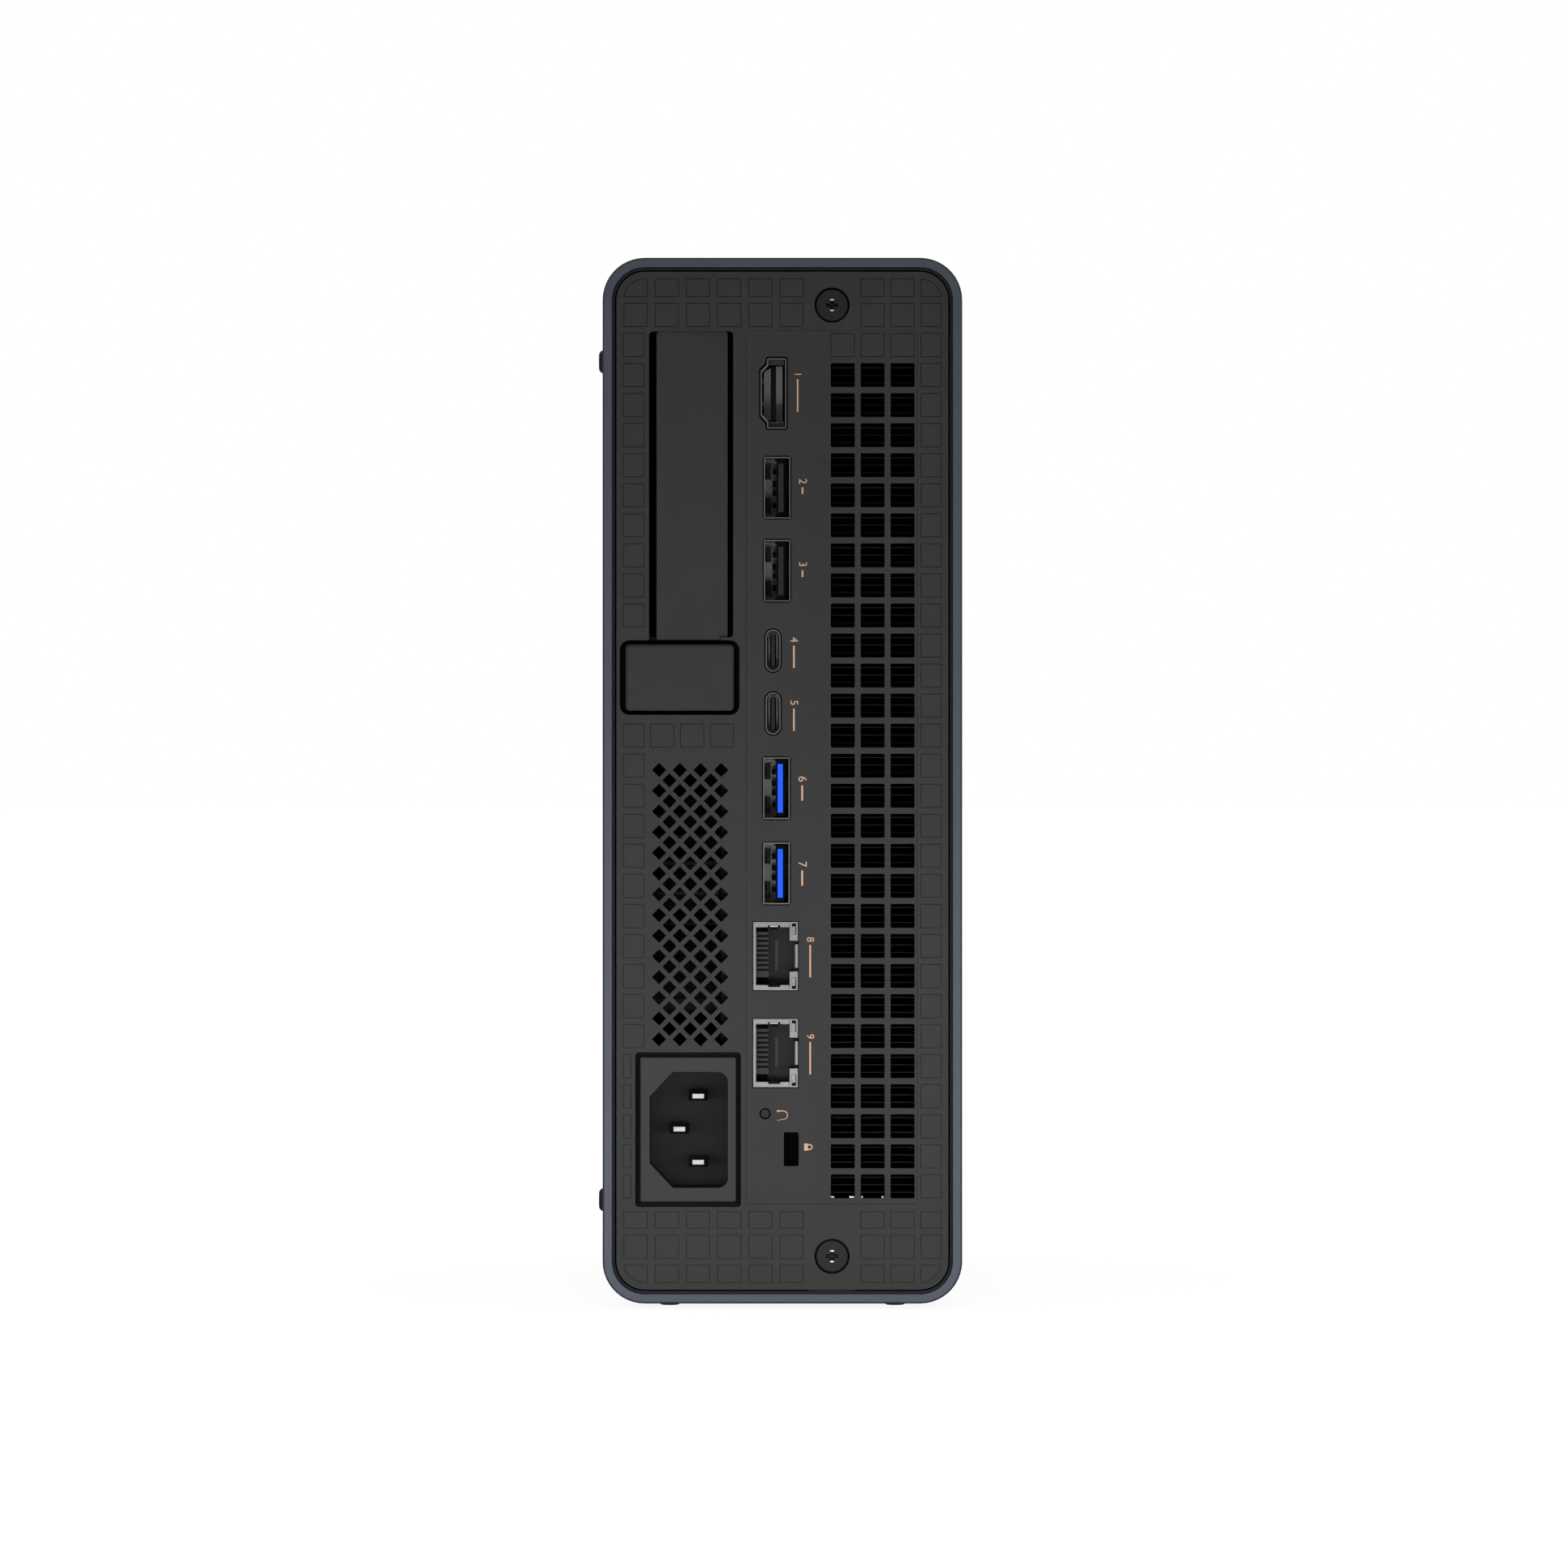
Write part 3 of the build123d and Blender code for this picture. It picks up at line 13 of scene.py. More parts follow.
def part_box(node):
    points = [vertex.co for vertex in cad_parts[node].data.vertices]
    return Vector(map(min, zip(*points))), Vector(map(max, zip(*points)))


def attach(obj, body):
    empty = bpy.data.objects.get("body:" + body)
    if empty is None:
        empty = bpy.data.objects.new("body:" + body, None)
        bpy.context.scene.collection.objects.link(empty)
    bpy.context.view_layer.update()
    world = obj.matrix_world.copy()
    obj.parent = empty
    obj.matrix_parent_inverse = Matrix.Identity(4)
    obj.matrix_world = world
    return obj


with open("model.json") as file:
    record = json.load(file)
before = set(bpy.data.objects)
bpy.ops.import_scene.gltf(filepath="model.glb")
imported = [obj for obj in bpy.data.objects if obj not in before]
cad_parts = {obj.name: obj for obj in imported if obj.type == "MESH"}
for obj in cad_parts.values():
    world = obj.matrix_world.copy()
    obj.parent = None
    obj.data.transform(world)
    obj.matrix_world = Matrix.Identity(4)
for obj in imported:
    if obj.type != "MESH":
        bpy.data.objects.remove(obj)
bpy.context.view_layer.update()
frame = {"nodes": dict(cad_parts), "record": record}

MM = 0.001
NODES = frame["nodes"]
BOTH = (-1, 1)
ARC_STEPS = 12


# ---------------------------------------------------------------- places taken from the frame

def middle(node):
    """The centre of a CAD node's box."""
    low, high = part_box(node)
    return (low + high) / 2


PANEL_LOW, PANEL_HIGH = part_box("rear_panel")
PLATE_LOW, PLATE_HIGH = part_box("io_plate")
SHELL_LOW, SHELL_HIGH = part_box("outer_shell")
FRONT_LOW, FRONT_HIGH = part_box("front_panel")
CENTRE_X = middle("outer_shell").x
FACE_Y = PANEL_LOW.y


def solids(node):
    """The box of each separate solid in a CAD node, from the lowest up."""
    shape = bmesh.new()
    shape.from_mesh(NODES[node].data)
    bmesh.ops.remove_doubles(shape, verts=shape.verts, dist=1e-6)
    left = set(shape.verts)
    boxes = []
    while left:
        reached = [left.pop()]
        found = []
        while reached:
            vert = reached.pop()
            found.append(vert.co.copy())
            for edge in vert.link_edges:
                other = edge.other_vert(vert)
                if other in left:
                    left.remove(other)
                    reached.append(other)
        low = Vector([min(co[k] for co in found) for k in range(3)])
        high = Vector([max(co[k] for co in found) for k in range(3)])
        boxes.append((low, high))
    shape.free()
    return sorted(boxes, key=lambda box: box[0].z)


def centres(node):
    """The middle of each solid in a CAD node, across and up, from the lowest up."""
    return [((low.x + high.x) / 2, (low.z + high.z) / 2) for low, high in solids(node)]


USB2 = centres("usb2_inserts")
USB3 = centres("usb3_inserts")
USB_LARGE = USB2 + USB3
USB_C = centres("usb_c_inserts")
LAN = centres("lan_cans")
HDMI = centres("hdmi_insert")[0]
PORT_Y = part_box("lan_cans")[0].y
RESET = middle("reset_button")
LOCK = middle("lock_plate")


# ---------------------------------------------------------------- material nodes

# Most of a noise texture's values lie in this span.
NOISE_SPAN = (0.3, 0.7)
GLOSS_SPREAD = 0.05


def tree_of(name):
    """A new node material: its material, its node tree and its principled shader."""
    material = bpy.data.materials.new(name)
    material.use_nodes = True
    tree = material.node_tree
    tree.nodes.clear()
    output = tree.nodes.new("ShaderNodeOutputMaterial")
    shader = tree.nodes.new("ShaderNodeBsdfPrincipled")
    tree.links.new(shader.outputs["BSDF"], output.inputs["Surface"])
    return material, tree, shader


def noise(tree, scale, detail=3.0, stretch=(1, 1, 1)):
    """A noise texture in the object's own metres, its scale multiplied along each axis by stretch."""
    coords = tree.nodes.new("ShaderNodeTexCoord")
    mapping = tree.nodes.new("ShaderNodeMapping")
    mapping.inputs["Scale"].default_value = stretch
    texture = tree.nodes.new("ShaderNodeTexNoise")
    texture.inputs["Scale"].default_value = scale
    texture.inputs["Detail"].default_value = detail
    tree.links.new(coords.outputs["Object"], mapping.inputs["Vector"])
    tree.links.new(mapping.outputs["Vector"], texture.inputs["Vector"])
    return texture.outputs["Fac"]


def maths(tree, operation, *values):
    """A maths node on plain numbers and on the outputs of other nodes."""
    node = tree.nodes.new("ShaderNodeMath")
    node.operation = operation
    for socket, value in zip(node.inputs, values):
        if isinstance(value, float):
            socket.default_value = value
        else:
            tree.links.new(value, socket)
    return node.outputs[0]


def remap(tree, value, source, target=(0.0, 1.0)):
    """A number carried from one range to another, and held at its ends."""
    node = tree.nodes.new("ShaderNodeMapRange")
    for name, limit in zip(("From Min", "From Max", "To Min", "To Max"), (*source, *target)):
        node.inputs[name].default_value = limit
    tree.links.new(value, node.inputs["Value"])
    return node.outputs["Result"]


def colour_ramp(tree, value, stops):
    """A colour for a number between 0 and 1: each stop is a place and a colour."""
    node = tree.nodes.new("ShaderNodeValToRGB")
    while len(node.color_ramp.elements) < len(stops):
        node.color_ramp.elements.new(1.0)
    for element, (place, colour) in zip(node.color_ramp.elements, stops):
        element.position = place
        element.color = (*colour, 1)
    tree.links.new(value, node.inputs["Fac"])
    return node.outputs["Color"]


def own_y(tree, kind):
    """The y part of the object's own coordinates or of its own normal."""
    coords = tree.nodes.new("ShaderNodeTexCoord")
    split = tree.nodes.new("ShaderNodeSeparateXYZ")
    tree.links.new(coords.outputs[kind], split.inputs["Vector"])
    return split.outputs["Y"]


def bump(tree, factor, depth, normal):
    """A bump of this depth in metres, over a normal if there is one."""
    node = tree.nodes.new("ShaderNodeBump")
    node.inputs["Strength"].default_value = 1.0
    node.inputs["Distance"].default_value = depth
    tree.links.new(factor, node.inputs["Height"])
    if normal is not None:
        tree.links.new(normal, node.inputs["Normal"])
    return node.outputs["Normal"]


def soft_edge(tree, radius):
    """The surface normal with its sharp edges slightly rounded."""
    node = tree.nodes.new("ShaderNodeBevel")
    node.samples = 4
    node.inputs["Radius"].default_value = radius
    return node.outputs["Normal"]


def shade(colour, factor):
    """A colour made darker or lighter."""
    return tuple(min(1.0, c * factor) for c in colour)


def finish_material(name, colour, rough, metal=0.0, spread=0.12, grain=2500.0, depth=4e-6, mottle=60.0,
                    stretch=(1, 1, 1), edge=0.0001, sheen=0.5):
    """A surface with fine grain, a slow change of tone, a change of gloss and soft edges."""
    material, tree, shader = tree_of(name)
    fine = noise(tree, grain, 4.0, stretch)
    mixed = maths(tree, "MULTIPLY_ADD", fine, 0.5, maths(tree, "MULTIPLY", noise(tree, mottle), 0.5))
    tones = zip(NOISE_SPAN, (shade(colour, 1 - spread), shade(colour, 1 + spread)))
    tree.links.new(colour_ramp(tree, mixed, list(tones)), shader.inputs["Base Color"])
    gloss = remap(tree, fine, NOISE_SPAN, (rough - GLOSS_SPREAD, rough + GLOSS_SPREAD))
    tree.links.new(gloss, shader.inputs["Roughness"])
    shader.inputs["Metallic"].default_value = metal
    shader.inputs["Specular IOR Level"].default_value = sheen
    rounded = soft_edge(tree, edge) if edge else None
    tree.links.new(bump(tree, fine, depth, rounded), shader.inputs["Normal"])
    return material


def multiply_base(material, value, stops):
    """Multiply a finish's base colour by a grey that follows a number: each stop is a place and a factor."""
    tree = material.node_tree
    base = tree.nodes["Principled BSDF"].inputs["Base Color"]
    mix = tree.nodes.new("ShaderNodeMix")
    mix.data_type = "RGBA"
    mix.blend_type = "MULTIPLY"
    mix.inputs["Factor"].default_value = 1.0
    greys = colour_ramp(tree, value, [(place, (factor, factor, factor)) for place, factor in stops])
    tree.links.new(base.links[0].from_socket, mix.inputs["A"])
    tree.links.new(greys, mix.inputs["B"])
    tree.links.new(mix.outputs["Result"], base)
    return material


def shade_by_depth(material, start, stops):
    """Darken a surface with painted shade by how far it lies behind a depth: each stop is in millimetres,
    with a factor.
    """
    reach = stops[-1][0] * MM
    depth = remap(material.node_tree, own_y(material.node_tree, "Object"), (start, start + reach))
    return multiply_base(material, depth, [(place * MM / reach, factor) for place, factor in stops])


def paint_shade_on_slopes(material, factor):
    """Darken the faces that slope, the broken edges of a plain case, with painted shade: they look dark from
    how the light falls on them.
    """
    tilt = maths(material.node_tree, "ABSOLUTE", own_y(material.node_tree, "Normal"))
    return multiply_base(material, tilt, ((0.0, 1), (0.3, factor), (0.9, factor), (1.0, 1)))


def glow_material(name, colour, strength):
    """A frosted light guide with a faint glow of its own."""
    material = finish_material(name, colour, 0.35, spread=0.04, grain=900.0, depth=2e-6)
    shader = material.node_tree.nodes["Principled BSDF"]
    shader.inputs["Emission Color"].default_value = (*colour, 1)
    shader.inputs["Emission Strength"].default_value = strength
    return material


def grey_moulding(name, tone, rough=0.5, spread=0.12, sheen=0.1):
    """A dull grey plastic."""
    return finish_material(name, (tone, tone, tone), rough, spread=spread, sheen=sheen)


# ---------------------------------------------------------------- finishes

PANEL_TONE = (0.0262, 0.0262, 0.0265)

# One finish for every material slot of the frame.
MATERIALS = {
    # The shell's own blue-grey, with painted shade on the faces that slope.
    "shell_metal": paint_shade_on_slopes(
        finish_material("anodised_blue_grey", (0.05, 0.0575, 0.0745), 0.48, 0.2, spread=0.08, grain=4200.0,
                        depth=6e-6, edge=0.00015, sheen=0.15), 0.35),
    "foot_rubber": finish_material("foot_rubber", (0.008, 0.0085, 0.0095), 0.8, spread=0.2, grain=1800.0,
                                   depth=1e-5, sheen=0.1),
    "lug_steel": finish_material("zinc_plate", (0.5, 0.51, 0.53), 0.35, 1.0, stretch=(1, 6, 1)),
    "panel_paint": finish_material("panel_powder", PANEL_TONE, 0.55, spread=0.1, grain=3800.0, depth=5e-6,
                                   edge=0.00008, sheen=0.1),
    "frame_steel": finish_material("frame_black", (0.012, 0.012, 0.013), 0.5, spread=0.2, grain=3000.0),
    "black_screw": finish_material("black_oxide", (0.013, 0.013, 0.0135), 0.5, spread=0.2, grain=3000.0,
                                   sheen=0.08),
    "button_plastic": finish_material("button_satin", (0.0258, 0.0258, 0.0261), 0.5, spread=0.08,
                                      grain=4200.0, depth=5e-6, edge=0.00025, sheen=0.1),
    "black_plastic": finish_material("black_moulding", (0.012, 0.012, 0.0125), 0.5, spread=0.2,
                                     grain=2600.0, sheen=0.12),
    "blue_plastic": finish_material("blue_moulding", (0.012, 0.1, 0.88), 0.5, spread=0.05, grain=2600.0,
                                    sheen=0.1),
    "can_steel": finish_material("nickel_can", (0.075, 0.075, 0.077), 0.4, 0.9, spread=0.15,
                                 stretch=(1, 8, 1)),
    "jack_can": finish_material("dull_nickel", (0.13, 0.13, 0.132), 0.45, 0.8, stretch=(1, 8, 1)),
    "lamp_plastic": finish_material("frosted_lamp", (0.16, 0.165, 0.165), 0.3, spread=0.1),
    "gold_wire": finish_material("gold_contact", (0.72, 0.5, 0.2), 0.28, 1.0, spread=0.1),
    "pin_brass": finish_material("nickel_pin", (0.62, 0.62, 0.61), 0.28, 1.0, stretch=(1, 8, 1)),
    "board_green": finish_material("solder_mask", (0.008, 0.03, 0.024), 0.35, spread=0.35, grain=700.0,
                                   depth=1e-5),
    "chip_black": finish_material("chip_moulding", (0.018, 0.018, 0.02), 0.5, spread=0.2),
    "die_metal": finish_material("package_metal", (0.45, 0.46, 0.48), 0.35, 1.0, spread=0.1),
    "copper": finish_material("bare_copper", (0.62, 0.27, 0.15), 0.32, 1.0, spread=0.15, stretch=(1, 1, 5)),
    # The fins are near black: painted shade, for they lie deep behind the vents.
    "fin_metal": finish_material("fin_sheet", (0.009, 0.009, 0.0095), 0.55, spread=0.15, stretch=(6, 1, 1),
                                 sheen=0.08),
    "supply_steel": finish_material("supply_sheet", (0.1, 0.1, 0.105), 0.45, 0.9, spread=0.15, mottle=220.0),
    "ring_plastic": glow_material("ring_guide", (0.6, 0.66, 0.72), 0.15),
}

# Finishes of the pieces added below.
DARK = grey_moulding("pocket_black", 0.003, rough=0.6, spread=0.3, sheen=0.03)
FLOOR_GREY = grey_moulding("jack_moulding", 0.022, spread=0.15)
COMB = grey_moulding("comb_moulding", 0.026)
BAR_GREY = grey_moulding("jack_bar", 0.06)
INSIDE = grey_moulding("socket_grey", 0.33)
SOCKET_FLOOR = grey_moulding("socket_floor", 0.55)
# Painted highlight: bright spots for the glints at the foot of the lowest vents.
GLINT = finish_material("vent_glint_paint", (0.62, 0.62, 0.61), 0.45, 0.3, spread=0.08)
TAB_GLINT_PAINT = finish_material("tab_painted_glint", (0.4, 0.4, 0.395), 0.45, 0.2, spread=0.1)
# Painted shade for the ledge inside the sleeve's ends.
LEDGE_SHADE = finish_material("ledge_painted_shade", (0.007, 0.0075, 0.009), 0.6, sheen=0.1)
MARK = finish_material("mark_print", (0.43, 0.257, 0.158), 0.5, spread=0.06, grain=3000.0, depth=1e-6, edge=0)

# The rear panel's paint, with painted shade: darker in its grooves and black on the walls of its cut-outs,
# where shade falls.
PANEL_PAINT_AND_SHADE = shade_by_depth(
    finish_material("rear_panel_powder_and_shade", PANEL_TONE, 0.55, spread=0.1, grain=3800.0, depth=5e-6,
                    edge=0.00003, sheen=0.1),
    FACE_Y, ((0.0, 1.0), (0.02, 1.0), (0.1, 0.55), (0.2, 0.5), (0.5, 0.1), (2.5, 0.1)))

# The mains inlet's moulding: a grey face round a cavity darkened with painted shade.
INLET_MOULDING_AND_SHADE = shade_by_depth(
    finish_material("inlet_moulding_and_shade", (0.032, 0.032, 0.032), 0.5, spread=0.08, grain=3200.0, sheen=0.08),
    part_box("inlet_body")[0].y, ((0.0, 1.0), (0.25, 0.9), (0.8, 0.38), (4.0, 0.42), (14.0, 0.4)))

# The inlet's contact pins: bright at the tip, with painted shade along the sides.
PIN_METAL_AND_SHADE = shade_by_depth(
    finish_material("nickel_tip", (0.38, 0.38, 0.376), 0.4, 0.1, spread=0.04, grain=900.0),
    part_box("inlet_pins")[0].y, ((0.0, 1.0), (0.02, 1.0), (0.06, 0.01), (1.0, 0.01)))

# CAD nodes with a finish of their own instead of their slot's.
OWN_FINISH = {
    "rear_panel": PANEL_PAINT_AND_SHADE,
    "io_plate": PANEL_PAINT_AND_SHADE,
    "inlet_body": INLET_MOULDING_AND_SHADE,
    "inlet_pins": PIN_METAL_AND_SHADE,
    "button_pocket": DARK,
    "hdmi_insert": DARK,
    "screw_lugs": MATERIALS["frame_steel"],
    "bulkhead": finish_material("bulkhead_black", (0.003, 0.003, 0.0032), 0.6, spread=0.2, sheen=0.05),
    "supply_blower": finish_material("blower_black", (0.005, 0.005, 0.0052), 0.6, spread=0.2, sheen=0.08),
}
SLOT_OF = {part["node"]: part["material_slot"] for part in frame["record"]["subparts"]}
for node, thing in NODES.items():
    thing.data.materials.clear()
    thing.data.materials.append(OWN_FINISH.get(node) or MATERIALS[SLOT_OF[node]])


# ---------------------------------------------------------------- pieces

def mesh_piece(name, build, body, slot, material=None):
    """A new mesh piece made by build(bmesh), riding on a body and finished as a slot or with a material."""
    mesh = bpy.data.meshes.new(name)
    shape = bmesh.new()
    build(shape)
    shape.to_mesh(mesh)
    shape.free()
    piece = bpy.data.objects.new(name, mesh)
    bpy.context.scene.collection.objects.link(piece)
    mesh.materials.append(material or MATERIALS[slot])
    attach(piece, body)


def block(shape, x, y, z):
    """A block between two limits along each axis."""
    limits = (x, y, z)
    place = Matrix.Translation([sum(pair) / 2 for pair in limits])
    scale = Matrix.Diagonal([pair[1] - pair[0] for pair in limits] + [1])
    bmesh.ops.create_cube(shape, size=1.0, matrix=place @ scale)


def span(place, off, width):
    """The two limits of a width in millimetres, about a place in metres moved by so many millimetres."""
    return place + (off - width / 2) * MM, place + (off + width / 2) * MM


def face_block(shape, centre, size, depth, off=(0, 0)):
    """A block seen from the rear. Its centre and its two depths are in metres, the rest in millimetres."""
    block(shape, span(centre[0], off[0], size[0]), depth, span(centre[1], off[1], size[1]))


def socket_piece(name, places, blocks, slot, material=None):
    """A piece with the same blocks in each socket. A block has a size across and up, two depths behind the
    sockets' rim and an offset from the socket's middle, all in millimetres."""
    def build(shape):
        for centre in places:
            for size, (near, far), off in blocks:
                face_block(shape, centre, size, (PORT_Y + near * MM, PORT_Y + far * MM), off)
    mesh_piece(name, build, "chassis", slot, material)


def pair_of(size, depths, across, up):
    """The same block below and above its socket's middle."""
    return [(size, depths, (across, side * up)) for side in BOTH]


def flat_plate(shape, centre, points, depth):
    """A flat plate seen from the rear: offsets across and up and a depth behind the rim, in millimetres."""
    corners = [(centre[0] + x * MM, PORT_Y + depth * MM, centre[1] + z * MM) for x, z in points]
    shape.faces.new([shape.verts.new(corner) for corner in corners])


# ---------------------------------------------------------------- insides of the sockets

# The large USB sockets: a shroud round the tongue, which lies off the middle, contact pockets beside it, the
# two floors on its sides, and sprung tabs.
TONGUE_X = 0.8
SHROUD_DEPTHS = (1.3, 9.0)
SPRING_POCKET = ((0.35, 1.7), (4.0, 9.0))
USB_FLOOR_DEPTHS = (8.0, 8.6)

socket_piece("usb_shrouds", USB_LARGE,
             [((0.35, 11.9), SHROUD_DEPTHS, (TONGUE_X + side * 0.76, 0)) for side in BOTH]
             + pair_of((1.2, 0.8), SHROUD_DEPTHS, TONGUE_X, 5.6)
             + pair_of((1.8, 0.5), (2.0, 9.0), TONGUE_X - 0.35, 6.1), "black_plastic", DARK)
socket_piece("usb_pockets", USB_LARGE,
             [((1.05, 1.1), (6.0, 9.0), (-0.47, up)) for up in (-3.5, -1.0, 1.0, 3.5)]
             + pair_of(*SPRING_POCKET, -2.33, 3.0) + pair_of(*SPRING_POCKET, 2.35, 3.0),
             "black_plastic", DARK)
socket_piece("usb_backs", USB_LARGE, [((2.6, 12.4), USB_FLOOR_DEPTHS, (-1.25, 0))], "can_steel", INSIDE)
socket_piece("usb_sides", USB_LARGE, [((0.9, 11.8), USB_FLOOR_DEPTHS, (2.1, 0))], "black_plastic", FLOOR_GREY)
socket_piece("usb_tabs", USB_LARGE, pair_of((1.25, 3.1), (7.0, 7.9), -1.9, 3.5), "can_steel", FLOOR_GREY)

# The small USB-C sockets: half the tongue's width and length, and the can's round ends.
USB_C_TONGUE = (0.62, 3.42)
USB_C_END_UP = 3.0
USB_C_END_R = 1.08
USB_C_FLOOR_DEPTH = 4.5


def usb_c_floors(shape):
    """A grey floor round each tongue, rounded like its can, in two halves."""
    wide, long = USB_C_TONGUE
    for centre in USB_C:
        for side in BOTH:
            outline = [(0, long), (side * wide, long), (side * wide, -long), (0, -long)]
            for k in range(ARC_STEPS + 1):
                turn = math.pi * (k / ARC_STEPS - 0.5)
                end_up = USB_C_END_UP if turn >= 0 else -USB_C_END_UP
                outline.append((side * USB_C_END_R * math.cos(turn), end_up + USB_C_END_R * math.sin(turn)))
            flat_plate(shape, centre, outline, USB_C_FLOOR_DEPTH)


# The video socket: a floor, dark ends and two notches in the rim.
HDMI_FLOOR_DEPTHS = (7.0, 7.5)


def hdmi_floor(shape):
    """A floor in two parts, one of them tapering like the can."""
    near, far = HDMI_FLOOR_DEPTHS
    flat_plate(shape, HDMI, [(-2.05, 4.7), (-0.6, 5.7), (-0.6, -5.7), (-2.05, -4.7)], near)
    face_block(shape, HDMI, (1.4, 12.0), (PORT_Y + near * MM, PORT_Y + far * MM), (1.2, 0))


mesh_piece("hdmi_floor", hdmi_floor, "chassis", "black_plastic", SOCKET_FLOOR)
mesh_piece("usb_c_floors", usb_c_floors, "chassis", "black_plastic", INSIDE)
socket_piece("hdmi_ends", [HDMI], [((3.2, height), (1.2, 5.0), (0.62, up))
                                   for up, height in ((6.6, 1.1), (-6.5, 1.05))], "black_plastic", COMB)
socket_piece("hdmi_notches", [HDMI], [((0.35, 0.75), (0.3, 2.0), (-2.2, up)) for up in (2.6, -2.2)],
             "can_steel", COMB)

# The network jacks: a bright face frame, lamp housings with windows, a contact comb and sprung tabs.
JACK_W = 9.5
JACK_L = 14.45
FRAME_W = 1.1
LAMP_W = 1.68
LAMP_L = 3.95
FRAME_L = JACK_W - LAMP_W - 0.2
LAMP_X = (JACK_W - LAMP_W) / 2
WINDOW_UP = JACK_L / 2 - 1.5
TAB_UP = JACK_L / 2 - FRAME_W
COMB_WIRES = 8
WIRE_STEP = 1.02
JACK_FLOOR_DEPTHS = (7.0, 7.6)

socket_piece("jack_frames", LAN,
             pair_of((FRAME_L, FRAME_W), (-0.03, 1.4), (FRAME_L - JACK_W) / 2, (JACK_L - FRAME_W) / 2)
             + [((0.8, 4.2), (0.35, 1.2), (JACK_W / 2 - 0.45, 0))], "jack_can")
socket_piece("lamp_housings", LAN,
             pair_of((LAMP_W, LAMP_L), (-0.06, 1.6), LAMP_X - 0.08, (JACK_L - LAMP_L) / 2), "jack_can")
socket_piece("lamp_windows", LAN, pair_of((0.9, 2.4), (-0.08, 0.3), LAMP_X - 0.02, WINDOW_UP),
             "black_plastic", DARK)
socket_piece("lamp_lenses", LAN, pair_of((0.66, 1.7), (-0.1, 0.3), LAMP_X - 0.08, WINDOW_UP - 0.3),
             "lamp_plastic")
socket_piece("jack_combs", LAN, [((2.7, 9.6), (1.6, 2.2), (-2.85, 0.3))], "black_plastic", COMB)
socket_piece("jack_floors", LAN, [((4.6, 12.0), JACK_FLOOR_DEPTHS, (0.6, 0)),
                                  ((0.9, 6.2), JACK_FLOOR_DEPTHS, (3.35, 0))], "black_plastic", FLOOR_GREY)
socket_piece("comb_slots", LAN, [((2.45, 0.46), (1.55, 2.1), (-2.75, 4.2 - WIRE_STEP * k))
                                 for k in range(COMB_WIRES)], "black_plastic", DARK)
socket_piece("jack_bars", LAN, [((0.65, 6.3), (6.8, 7.2), (0.2, 0))], "black_plastic", BAR_GREY)
socket_piece("jack_tabs", LAN, pair_of((2.6, 0.55), (-0.05, 3.0), -0.3, TAB_UP + 0.15)
             + pair_of((1.5, 0.6), (0.5, 3.0), -0.3, TAB_UP - 0.3), "black_plastic", DARK)
socket_piece("latch_gaps", LAN, pair_of((0.85, 0.75), (-0.05, 1.5), JACK_W / 2 - 0.4, 2.85),
             "black_plastic", DARK)
# Painted highlights: bright strips where the tabs catch the light.
socket_piece("tab_glints", LAN, [((1.7, 0.26), (-0.07, 1.0), (-0.35, JACK_L / 2 - 0.9))],
             "can_steel", TAB_GLINT_PAINT)


# ---------------------------------------------------------------- screws, vents, lock slot and sleeve

def screw_glint_spots(end):
    """Two bright steel spots in a screw's recess: painted highlights where glints fall."""
    def build(shape):
        low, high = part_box(f"{end}_screw")
        centre = ((low.x + high.x) / 2, (low.z + high.z) / 2)
        for side in BOTH:
            face_block(shape, centre, (0.72, 0.26), (low.y - 0.01 * MM, low.y + 0.3 * MM), (0, side * 1.12))
    return build


def vent_glint_spots(shape):
    """Small bright spots just behind the foot of the lowest vents: painted highlights where glints fall."""
    foot = PLATE_LOW.z + 1.35 * MM
    first = PLATE_HIGH.x - 15.8 * MM
    depth = (PANEL_HIGH.y + 0.1 * MM, PANEL_HIGH.y + 0.4 * MM)
    for off, width in ((-2.15, 0.8), (1.95, 1.0), (4.15, 0.35), (8.5, 0.4)):
        face_block(shape, (first, foot), (width, 0.35), depth, (off, 0))


# The cup behind the lock slot: the gap in front of it, how far it reaches, and its wall.
LOCK_CUP_GAP = 0.1 * MM
LOCK_CUP_END = 6.5 * MM
LOCK_CUP_WALL = 0.3 * MM


def lock_pocket(shape):
    """A dark cup behind the lock slot: a back and four walls."""
    low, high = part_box("lock_plate")
    wall = LOCK_CUP_WALL
    sides = (high.y + LOCK_CUP_GAP, high.y + LOCK_CUP_END - wall)
    block(shape, (low.x, high.x), (sides[1], sides[1] + wall), (low.z, high.z))
    for z in (low.z, high.z - wall):
        block(shape, (low.x, high.x), sides, (z, z + wall))
    for x in (low.x, high.x - wall):
        block(shape, (x, x + wall), sides, (low.z + wall, high.z - wall))


# The sleeve's end: its rim, the ledge inside the rim, how deep the ledge lies, the radius of the sleeve's
# corners, and how far the dark ring of painted shade stands off the ledge.
RIM = 1.95 * MM
LEDGE = 0.6 * MM
LEDGE_DEEP = 1.0 * MM
SHELL_R = 8.9 * MM
SHADE_RING_PROUD = 0.03 * MM


